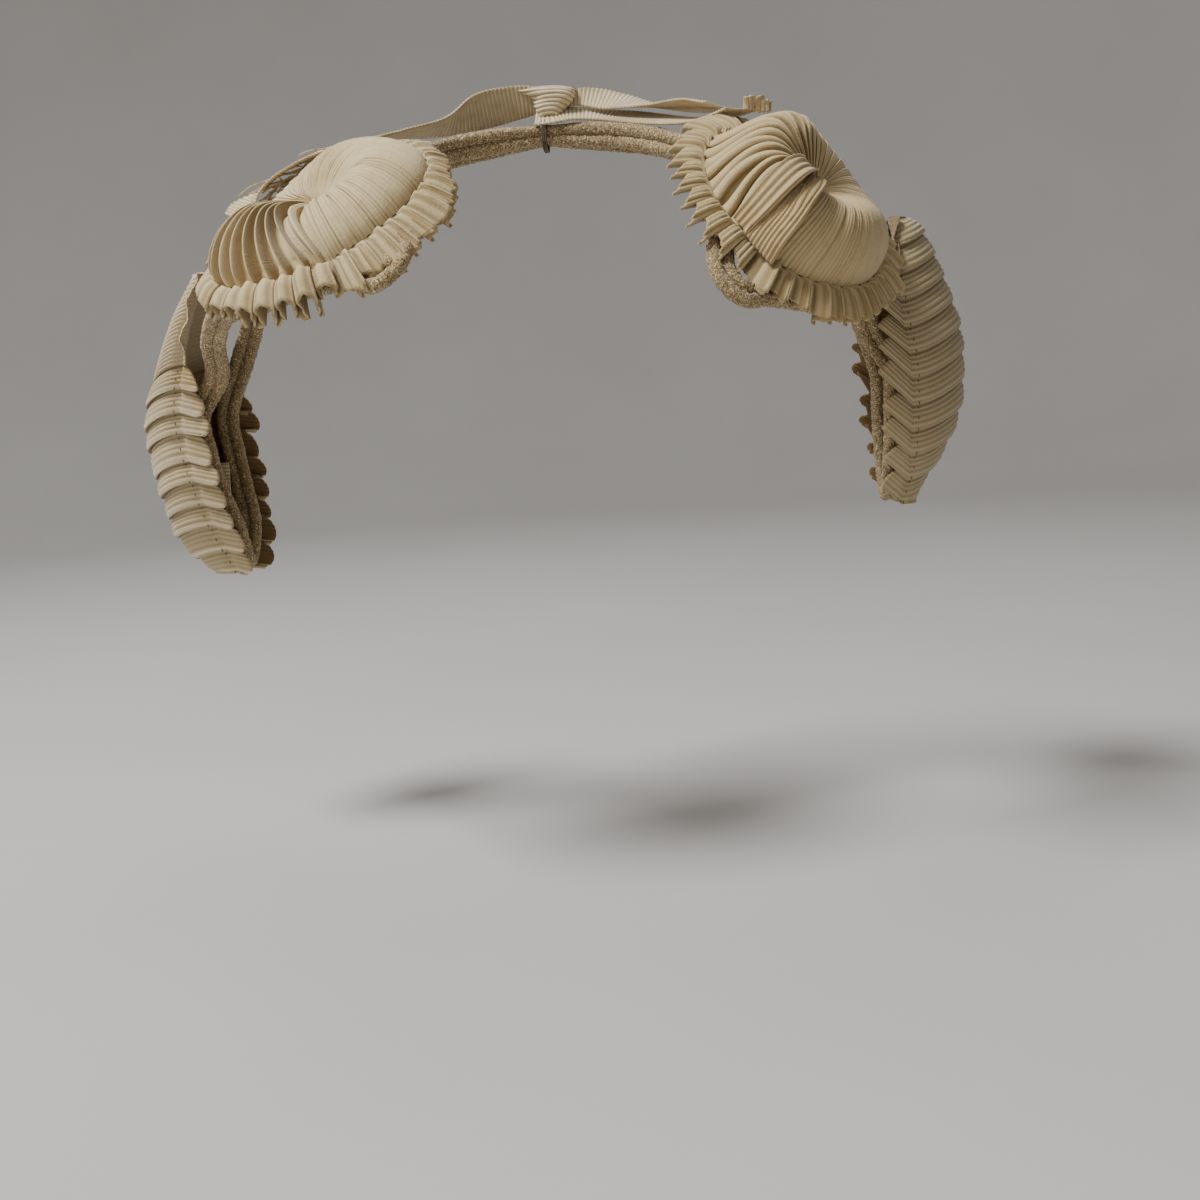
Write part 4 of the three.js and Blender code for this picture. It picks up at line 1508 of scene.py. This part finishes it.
@dataclass
class Streamer:
    """A flat ribbon of the bow, laid from the knot to the piece it is sewn to.

    Attributes:
        node: Name of the solid that it stands for.
        rows: x, y, z, width and twist at each step.
        ripple: How far its face waves, in millimetres.
        seed: Seed of its waves.
    """

    node: str
    rows: Rows
    ripple: float
    seed: int

    def build(self, finishes: Finishes) -> None:
        """Build the ribbon.

        Args:
            finishes: The materials.
        """
        rows = np.array(self.rows)
        position = even_positions(rows[:, :3], ROW_STEP)
        centre = through_points(rows[:, :3], position)
        width, twist = through_rows(rows[:, 3:], position).T
        along = unit(np.gradient(centre, axis=0))
        across = unit(np.cross([0.0, 0.0, 1.0], along))
        up = np.cross(along, across)
        angle = np.radians(twist)[:, None]
        wide = across * np.cos(angle) + up * np.sin(angle)
        thick = np.cross(along, wide)
        run = np.arange(len(centre)) * ROW_STEP
        over = np.linspace(-0.5, 0.5, 15)
        rng = np.random.default_rng(self.seed)
        phase = rng.uniform(0, 6.28, 3)
        wave = self.ripple * (
            np.sin(run[:, None] / 9 + phase[0] + over * 2.2) * 0.6
            + np.sin(run[:, None] / 4.3 + phase[1] - over * 3) * 0.25 * np.abs(over) * 2
        )
        cup = 0.5 * self.ripple * (over**2 - 0.08) * 4
        rib = 0.13 * np.cos(2 * np.pi * run / RIB_PITCH)[:, None]
        lift = wave + cup + rib + RIBBON_THICKNESS / 2
        points = centre[:, None] + wide[:, None] * (over[None, :, None] * width[:, None, None])
        points = points + thick[:, None] * lift[..., None]
        weave = Weave(points, run[:, None], (over + 0.5) * BOW_RIBBON, flip=True)
        piece = weave.mesh(f"{self.node}_ribbon", RIBBON_THICKNESS)
        dress(piece, "aged_ribbon", finishes.bow, finishes.bow, node=self.node)


@dataclass
class Knot:
    """The ribbon wound over the middle of the bow.

    Attributes:
        levels: x, z, half width and half depth from the bottom up.
        middle: Its y.
    """

    levels: Rows
    middle: float = 1.0

    def build(self, finishes: Finishes) -> None:
        """Build the knot.

        Args:
            finishes: The materials.
        """
        rows = np.array(self.levels)
        table = through_rows(rows, np.linspace(0, len(rows) - 1, 64))
        angle = np.linspace(0, 2 * np.pi, 120, endpoint=False)
        height = table[:, 1:2]
        slant = height + 0.14 * table[:, 2:3] * np.cos(angle) + 0.25 * np.sin(2 * angle)
        rib = 1 + 0.035 * np.cos(2 * np.pi * slant / RIB_PITCH)
        crease = 1 + 0.05 * np.sin(height * 1.3 + 2 * angle)
        x = table[:, 0:1] + table[:, 2:3] * squared(np.cos(angle), 0.7) * rib * crease
        y = self.middle + table[:, 3:4] * squared(np.sin(angle), 0.7) * rib * crease
        z = np.broadcast_to(height, x.shape) + 0.2 * np.sin(3 * angle)
        points = np.stack([x, y, z], axis=-1)
        top = points[-1:].mean(axis=1, keepdims=True)
        steps = np.array([0.7, 0.35, 0.08])[:, None, None]
        lid = top + (points[-1:] - top) * steps - np.array([0, 0, 0.5]) * (1 - steps)
        points = np.concatenate([points, lid], axis=0)
        run = np.concatenate([slant, np.repeat(slant[-1:], len(lid), axis=0)])
        over = 2 + 6 * np.abs(angle / np.pi - 1)
        piece = Weave(points, run, over, closed=True, lap=1000.0).mesh("bow_knot_ribbon")
        dress(piece, "aged_ribbon", finishes.bow, node="bow_knot")


@dataclass
class Frill:
    """The gathered, cut end of the right ribbon on the back of the rosette.

    Attributes:
        middle: Its middle, in millimetres.
        length: Its length across the rosette.
        height: How far it stands up.
    """

    middle: Triple = (46.3, -28.9, 0.9)
    length: float = 5.6
    height: float = 2.9

    def build(self, finishes: Finishes) -> None:
        """Build the gathers.

        Args:
            finishes: The materials.
        """
        run = np.linspace(0, 1, 150)
        over = np.linspace(0, 1, 12)
        zigzag = np.sin(run * 2 * np.pi * 5.5 + 0.7 * np.sin(run * 8))
        x = (run - 0.5)[:, None] * self.length + 0.25 * np.sin(run * 40)[:, None] * over
        y = 1.2 * zigzag[:, None] * (0.8 + 0.2 * over) - 1.0 * over**2
        crown = (1 - 0.45 * (2 * run - 1) ** 2 + 0.08 * np.sin(run * 13))[:, None]
        z = (over - 0.25) * self.height * crown + 0.2 * np.cos(run * 19)[:, None] * over
        points = np.stack([x, y, z - 0.18 * x], axis=-1) + np.array(self.middle)
        weave = Weave(points, run[:, None] * 22, over * 4 + 3)
        piece = weave.mesh("streamer_frill_ribbon", RIBBON_THICKNESS)
        dress(piece, "aged_ribbon", finishes.bow, finishes.bow, node="streamer_frill")


# Tie and trimmings

TIE_THREAD = 0.2


@dataclass
class Tie:
    """Turns of dark thread round the four ends of the cords.

    Attributes:
        length: Its length across the crown.
        half_depth: Half its depth, front to back.
        low: Height of its underside.
        high: Height of its top.
        turns: How many turns of thread it has.
        seed: Seed of their small differences.
    """

    length: float = 1.5
    half_depth: float = 4.1
    low: float = 0.05
    high: float = 7.15
    turns: int = 5
    seed: int = 5

    def build(self, finishes: Finishes) -> None:
        """Wind the thread.

        Args:
            finishes: The materials.
        """
        rng = np.random.default_rng(self.seed)
        steps = 44
        angle = np.linspace(0, 2 * math.pi * self.turns, steps * self.turns)
        half_height = (self.high - self.low) / 2
        swell = 1 - 0.03 * rng.uniform(0, 1, len(angle))
        y = (self.half_depth - TIE_THREAD) * squared(np.cos(angle), 0.55) * swell
        z = (self.low + self.high) / 2 + (half_height - TIE_THREAD) * squared(np.sin(angle), 0.55) * swell
        x = (angle / angle[-1] - 0.5) * (self.length - 0.3) + 0.12 * np.sin(angle * 0.37)
        piece = tubes("crown_tie_thread", [np.stack([x, y, z], axis=1)], TIE_THREAD, 6)
        dress(piece, "tie_thread", finishes.tie, node="crown_tie")


@dataclass
class LaidRibbon:
    """A stretch of ribbon laid over the pleats from the eye to the rim, with its ribs along it.

    Attributes:
        name: Name of the piece.
        node: Name of the solid that it stands for, or nothing where it is extra.
        rosette: The rosette that it lies on.
        rows: Place along the rosette's outline, bearing, half width and height over the outline.
        lip: How far its right edge rolls up and under, in millimetres.
        ribs: How many ribs it has.
    """

    name: str
    node: str
    rosette: Rosette
    rows: Rows
    lip: float
    ribs: int

    def build(self, finishes: Finishes) -> None:
        """Build the ribbon.

        Args:
            finishes: The materials.
        """
        steps = np.linspace(0, len(self.rows) - 1, 70)
        table = through_rows(np.array(self.rows), steps)
        place, bearing, half, lift = (column[:, None] for column in table.T)
        side = np.linspace(-1, 1, 8 * self.ribs + 1)
        share = self.rosette.profile(bearing, place)[0]
        distance = np.maximum(3.0, share * self.rosette.rim(bearing))
        roll = smooth(side, 0.45, 1.0)
        across = side - 0.35 * smooth(side, 0.85, 1.0) * (self.lip > 0)
        spread = np.degrees(np.arcsin(np.clip(half * across / distance, -0.95, 0.95)))
        rib = 0.17 * np.cos(np.pi * self.ribs * side)
        arch = self.lip * (roll - 1.5 * smooth(side, 0.8, 1.0))
        raised = 1.1 * smooth(side, 0.0, 1.0) * (self.lip == 0)
        height = lift + rib + arch + raised
        aim = bearing + spread
        rim_bearing = aim - self.rosette.swirl(aim) * np.maximum(0.0, 1.0 - share)
        points = self.rosette.place_points(rim_bearing, place + 0 * aim, height)
        over = np.linspace(0, ROSETTE_RIBBON, len(points))[:, None]
        weave = Weave(points, (side + 1) * self.ribs * RIB_PITCH / 2, over, flip=True)
        piece = weave.mesh(self.name, RIBBON_THICKNESS)
        outside = finishes.strip if self.node else finishes.rosettes[self.rosette.wing]
        dress(piece, "ribbon", outside, finishes.inside, node=self.node)


@dataclass
class FrayedThreads:
    """Loose warp threads of the left ribbon's torn edge, behind the left rosette.

    Attributes:
        start: One end of the torn edge, in millimetres.
        end: Its other end.
        count: How many threads there are.
        length: Their longest length.
        seed: Seed of their places and bends.
    """

    start: Triple = (-38.0, -16.5, 2.6)
    end: Triple = (-60.0, -23.0, -7.5)
    count: int = 40
    length: float = 9.0
    seed: int = 71

    def build(self, finishes: Finishes) -> None:
        """Build the threads.

        Args:
            finishes: The materials.
        """
        rng = np.random.default_rng(self.seed)
        start, end = np.array(self.start), np.array(self.end)
        down = unit(end - start)
        share = np.linspace(0, 1, 9)
        paths = []
        for _ in range(self.count):
            root = start + (end - start) * rng.uniform(0.15, 0.95) + rng.normal(0, 0.7, 3)
            way = unit(down + rng.normal(0, 0.16, 3)) * rng.uniform(0.35, 1.0) * self.length
            bow = rng.normal(0, 0.7, 3)
            paths.append(root + share[:, None] * way + np.sin(np.pi * share)[:, None] * bow)
        piece = tubes("frayed_threads", paths, 0.17)
        dress(piece, "aged_ribbon", finishes.fray)


@dataclass
class InnerTab:
    """A small pale tab of ribbon that hangs inside the left petal.

    Attributes:
        centre: Its middle, in millimetres.
        width: Its width.
        height: Its height.
    """

    centre: Triple = (-85.6, 10.7, -71.0)
    width: float = 3.0
    height: float = 9.0

    def build(self, finishes: Finishes) -> None:
        """Build the tab.

        Args:
            finishes: The materials.
        """
        down, over = np.linspace(0.5, -0.5, 40), np.linspace(-0.5, 0.5, 9)
        down = down[:, None]
        x = over * self.width + 0 * down
        z = down * self.height + 0 * x
        y = 0.3 * np.sin(down * 5) + 0.25 * (over * 2) ** 2 + 0.05 * np.cos(down * 2 * np.pi * 10)
        points = np.stack([x, y, z], axis=-1) + np.array(self.centre)
        weave = Weave(points, (0.5 - down) * self.height, (over + 0.5) * self.width + 3, flip=True)
        piece = weave.mesh("inner_tab_ribbon", RIBBON_THICKNESS)
        dress(piece, "aged_ribbon", finishes.bow, finishes.bow, node="inner_tab")


# The hat

LEFT_ROSETTE = Rosette(
    wing="left_wing", centre=(-43.8, -43.3, -14.1), azimuth=-31, elevation=51.5,
    semi_long=22.7, semi_short=21.7, turn=17, crown=5.6, eye_height=0.6, eye_shift=(1.5, -1.0),
    ruffle=5.4, pleats=38,
    swirls=(
        (0, 75), (20, 95), (60, 80), (90, 55), (120, 30), (150, 10), (180, 2), (225, -28), (262, -48),
        (273, -6), (300, 5), (330, 20), (345, 45), (360, 75),
    ),
    ribs=(
        (0, 0.3), (60, 0.2), (120, 0.3), (180, 0.3), (205, 0.1), (250, 0.15), (275, 1.0), (325, 0.9),
        (360, 0.4),
    ),
    loose_bearing=198, loose_spread=62, loose_lift=0.3, depths=(0.7, 3.4), ruffle_depths=(2.4, 4.2),
    open_zone=(219.0, 53.0), folds=(Fold.GILL, Fold.LOOP), notch=(2.3, 0.4), slouch=0.0, seam=(0.0, 0.0),
    open_fold_shade=0.05, swell=0.6, dip=(3.8, 130.0, 75.0), waver=0.0,
    stretch=(2.6, 178.0, 50.0), reach=(-0.4, 5.0, 55.0), hang=(2.8, 285.0), seed=3,
)
RIGHT_ROSETTE = Rosette(
    wing="right_wing", centre=(53.6, -38.8, -19.0), azimuth=45, elevation=38.5,
    semi_long=22.4, semi_short=20.8, turn=88, crown=9.4, eye_height=3.8, eye_shift=(1.3, 0.0),
    ruffle=5.4, pleats=38,
    swirls=(
        (0, 25), (60, 5), (90, 0), (120, 5), (150, 18), (165, 20), (180, 14), (196, 4), (234, -3),
        (250, -12), (262, -8), (270, 15), (300, 22), (330, 25), (360, 25),
    ),
    ribs=(
        (0, 0.3), (60, 0.5), (110, 0.5), (165, 0.2), (245, 0.25), (275, 0.9), (305, 0.7), (335, 0.4),
        (360, 0.3),
    ),
    loose_bearing=165, loose_spread=60, loose_lift=0.1, depths=(0.6, 2.9), ruffle_depths=(2.5, 3.2),
    open_zone=(194.0, 80.0), folds=(Fold.WAVE, Fold.WAVE), notch=(3.0, 3.0), slouch=0.8, seam=(275.5, 2.2),
    open_fold_shade=0.3, swell=0.3, dip=(4.0, 60.0, 80.0), waver=5.0,
    stretch=(0.0, 0.0, 1.0), reach=(-0.15, 200.0, 50.0), hang=(1.2, 240.0), seed=8,
)
LEFT_PETAL = Petal(
    wing="left_wing", side=-1, pitches=(4.6, 5.2, 4.8, 6.4, 5.0, 5.4, 5.2, 6.2, 5.7), slant=-4.4, flange=5.6,
    flange_top=-47.0,
    rows=(
        (-24, 75.5, 79.5, -16, 5), (-32, 79.5, 87.4, -10, 9.5), (-45, 85, 96.1, -1, 13.5),
        (-57, 87, 99, 2.5, 15), (-70, 85.5, 97.2, 3.5, 14), (-82, 83, 94.5, 4, 10.5),
        (-92, 80.5, 86.5, 3.5, 4.5),
    ),
    depth=1.8, droop=1.4, step=0.5, rounding=2.4, highlight_strength=0.9, contrast=0.55, seed=11,
)
RIGHT_PETAL = Petal(
    wing="right_wing", side=1, pitches=(5.6, 5.9, 5.7, 6.0, 5.8, 5.5, 6.0, 5.9, 5.6, 5.7, 5.8), slant=6.5,
    flange=5.6, flange_top=-38.0,
    rows=(
        (-21, 76, 80.5, -5.5, 4.5), (-29, 76.5, 84.4, -3.5, 8.5), (-41, 77.5, 89.2, 0, 12.5),
        (-55, 79.5, 93, 2.5, 14.5), (-68, 79.5, 92.4, 3.5, 13), (-77, 79.5, 88.5, 4, 9),
        (-84.5, 78, 81.5, 3.5, 4.5),
    ),
    depth=1.9, droop=-5.2, step=4.0, rounding=0.3, highlight_strength=0.12, contrast=1.0, seed=17,
)
LEFT_WING = Wing(
    "left_wing", LEFT_PETAL,
    (
        (-0.8, -1.6, 3.6, 0, 0.76), (-10.5, -3.6, 2.6, 0, 1), (-20.5, -8.5, 0.5, 0, 1),
        (-28, -16.5, -2.9, 0, 1), (-31.5, -26, -6.8, 0, 1), (-29.5, -35, -9.6, 0, 1),
        (-26.4, -43.3, -13, 20, 1), (-25.4, -50.4, -18.1, 60, 1), (-24.8, -56.9, -24.2, 88, 1),
        (-26.1, -60.8, -29, 90, 1), (-29.9, -61.2, -31.7, 90, 1), (-34.2, -57.9, -30.5, 85, 1),
        (-40.4, -54.2, -30.4, 55, 1), (-47.5, -51.4, -31.6, 15, 1), (-54.2, -48.2, -33, 0, 1),
        (-60.8, -42.6, -33.7, 0, 1), (-66.6, -35.2, -33.8, 0, 1), (-71.4, -26.8, -34.8, 0, 1),
        (-75.4, -19.6, -39.4, 0, 1), (-77.8, -11.8, -46.4, 0, 1),
    ),
    (-55, -64, -73, -82),
    (-80.2, 4.2, -90.6, 0, 1),
    (
        (-77, 6, -43, 0, 1), (-72.4, 1.6, -34.5, 0, 1), (-69, -3.6, -25.5, 0, 1), (-62, -7.4, -17.3, 0, 1),
        (-52, -7, -9.5, 0, 1), (-39, -2, -3.4, 0, 1), (-26, 3, 0.5, 0, 1), (-12, 3.6, 3, 0, 1),
        (-0.8, 1.6, 3.6, 0, 0.76),
    ),
    23,
)
RIGHT_WING = Wing(
    "right_wing", RIGHT_PETAL,
    (
        (0.8, -1.6, 3.6, 0, 0.76), (11, -3.6, 2.6, 0, 1), (21.5, -8.5, 0.3, 0, 1), (30, -16, -3.5, 0, 1),
        (38, -25, -9.4, 0, 1), (40.4, -34, -14.4, 0, 1), (39.3, -41.9, -18.4, 20, 1),
        (37.6, -48.8, -23.1, 60, 1), (36.1, -55.3, -29.1, 88, 1), (36.4, -59.7, -34.8, 90, 1),
        (39.9, -59.9, -38.6, 90, 1), (44, -56.6, -38.6, 90, 1), (49.1, -52, -39.1, 88, 1),
        (54.9, -46.6, -40.3, 75, 1), (60.4, -39.6, -41.3, 50, 1), (64.6, -30.6, -40.4, 20, 1),
        (67.6, -21, -38, 0, 1), (68.6, -13.4, -38.4, 0, 1), (71.2, -8, -45.6, 0, 1),
    ),
    (-55, -64, -74),
    (76.6, 3.9, -83.4, 0, 1),
    (
        (72.6, 9, -44, 0, 1), (68.4, 5, -32.4, 0, 1), (63.6, 0.4, -21.8, 0, 1), (55, -2.6, -13.6, 0, 1),
        (41, 0, -5.6, 0, 1), (26, 3, 0.6, 0, 1), (12, 3.6, 3, 0, 1), (0.8, 1.6, 3.6, 0, 0.76),
    ),
    29,
)
STREAMERS = (
    Streamer(
        "streamer_left",
        (
            (-1.6, 1.6, 11.9, 6.0, 76), (-4.5, 1.2, 11.8, 7.0, 70), (-14.7, 0, 9.9, 9, 45),
            (-22.4, -3.5, 6.5, 9, 22), (-32, -10, 4.3, 9.5, 5), (-45.6, -19.5, 0.6, 9, -8),
            (-55, -22, -3.6, 9, -14), (-63.2, -23, -9.8, 8.5, -20), (-66.5, -25.5, -13.5, 5, -24),
        ),
        0.5, 31,
    ),
    Streamer(
        "streamer_right_upper",
        (
            (5.6, 1.6, 12.0, 3.8, 76), (8.5, 1.2, 12.0, 4.2, 70), (17, 0, 10.1, 8, 30),
            (26, -4.5, 7.4, 8.5, 0), (33.5, -10, 5.9, 8.5, -12), (39, -16, 4.2, 8, -5),
        ),
        0.3, 37,
    ),
    Streamer(
        "streamer_right_lower",
        (
            (-1.8, -1.4, 7.3, 5.0, 40), (1, -1.8, 7.5, 6.6, 36), (5.3, -1.0, 8.0, 8, 30),
            (17.3, -1.5, 6.5, 8, 24), (31.6, -12.5, 2.4, 8.5, 14), (38, -18.5, 1.4, 8.5, 5),
            (43, -25.2, 1.6, 8, 0),
        ),
        0.2, 41,
    ),
)
KNOT = Knot(
    (
        (0.9, 7.5, 2.2, 2.8), (1.3, 8.4, 2.9, 3.5), (2.0, 10.4, 3.9, 3.9), (2.4, 12.2, 4.8, 3.8),
        (1.4, 13.5, 6.2, 3.1), (0.8, 14.3, 6.4, 1.8),
    )
)
STRIP = LaidRibbon(
    "finishing_strip_ribbon", "finishing_strip", RIGHT_ROSETTE,
    (
        (0.7, 266, 2.2, 0.9), (0.95, 267, 2.8, 1.2), (1.2, 267, 3.2, 1.3), (1.45, 268, 3.5, 1.4),
        (1.7, 268, 3.7, 1.6), (1.95, 269, 3.8, 1.8),
    ),
    0.0, 9,
)
ROLLED_FOLD = LaidRibbon(
    "rolled_fold_ribbon", "", RIGHT_ROSETTE,
    (
        (0.22, 240, 0.9, 0.9), (0.5, 245, 1.6, 1.7), (0.85, 250, 2.3, 2.3), (1.2, 253, 2.5, 2.3),
        (1.55, 255, 2.5, 1.9), (1.92, 256, 2.3, 1.2),
    ),
    1.2, 4,
)


# Studio

LIT_PLACE = Vector((0, -0.01, -0.04))


@dataclass
class Studio:
    """The floor, the light and the camera.

    Attributes:
        floor_height: Height of the floor, in metres.
        camera_place: Where the camera stands, in metres.
        forward: The direction that it looks in.
        up: Its upward direction.
        lens: Its focal length for a 36 mm wide sensor.
    """

    floor_height: float = -0.16
    camera_place: Triple = (0.0234, -0.3317, -0.0575)
    forward: Triple = (-0.0518, 0.9889, -0.1392)
    up: Triple = (0.0537, 0.1419, 0.9884)
    lens: float = 42.0

    def build(self) -> None:
        """Build the studio."""
        self.build_camera()
        self.build_floor()
        self.build_lights()

    def build_camera(self) -> None:
        """Place the camera at the photograph's angle."""
        data = bpy.data.cameras.new("camera")
        data.lens = self.lens
        data.sensor_width = 36.0
        data.sensor_fit = "HORIZONTAL"
        data.clip_start = 0.01
        camera = add_object("camera", data)
        back = -Vector(self.forward).normalized()
        up = Vector(self.up).normalized()
        right = up.cross(back).normalized()
        turn = Matrix((right, back.cross(right), back)).transposed()
        camera.matrix_world = Matrix.Translation(self.camera_place) @ turn.to_4x4()
        bpy.context.scene.camera = camera

    def build_floor(self) -> None:
        """Build a pale floor that turns up into the backdrop all round."""
        hole, flat, bend, sides = 0.00002, 1.0, 0.6, 96
        sweep = [(hole, 0.0), (0.6, 0.0), (flat, 0.0)]
        for angle in np.linspace(0.15, math.pi / 2, 12):
            sweep.append((flat + bend * math.sin(angle), bend - bend * math.cos(angle)))
        sweep.append((flat + bend, 1.6))
        radius, height = (np.array(column)[:, None] for column in zip(*sweep))
        around = np.linspace(0, 2 * math.pi, sides, endpoint=False)
        rise = np.broadcast_to(self.floor_height + height, (len(sweep), sides))
        points = np.stack([radius * np.cos(around), radius * np.sin(around), rise], axis=-1) / MM
        floor = Weave(points, closed=True).mesh("floor")
        graph = ShaderGraph.named("pale_floor", Roughness=0.9)
        place = graph.node("ShaderNodeTexCoord").outputs["Object"]
        mottle = graph.span(graph.noise(place, 6.0), 0.3, 0.7)
        colour = graph.blend(mottle, (0.49, 0.475, 0.455), (0.515, 0.50, 0.48))
        graph.join(colour, graph.surface("Base Color"))
        floor.data.materials.append(graph.material)

    def build_lights(self) -> None:
        """Hang one large soft light above the front, a weaker one beside it, and a pale world."""
        for name, place, size, power in (
            ("key", (-0.5, -0.34, 0.86), 0.32, 17.0),
            ("fill", (-0.5, -0.9, 0.1), 0.9, 1.6),
            ("top", (-0.1, 0.3, 0.9), 0.6, 2.5),
        ):
            data = bpy.data.lights.new(name, "AREA")
            data.size = size
            data.energy = power
            lamp = add_object(name, data)
            lamp.location = place
            lamp.rotation_euler = (LIT_PLACE - Vector(place)).to_track_quat("-Z", "Y").to_euler()
        world = bpy.data.worlds.new("world")
        world.use_nodes = True
        background = world.node_tree.nodes["Background"]
        background.inputs["Color"].default_value = (1.0, 0.97, 0.92, 1.0)
        background.inputs["Strength"].default_value = 0.22
        bpy.context.scene.world = world


def main() -> None:
    """Build the hat and the studio, and report each piece."""
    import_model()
    Studio().build()
    finishes = Finishes()
    for maker in (LEFT_WING, RIGHT_WING, LEFT_ROSETTE, RIGHT_ROSETTE, LEFT_PETAL, RIGHT_PETAL):
        maker.build(finishes)
    for maker in (*STREAMERS, KNOT, Frill(), Tie(), STRIP, ROLLED_FOLD, InnerTab(), FrayedThreads()):
        maker.build(finishes)


if __name__ == "__main__":
    main()
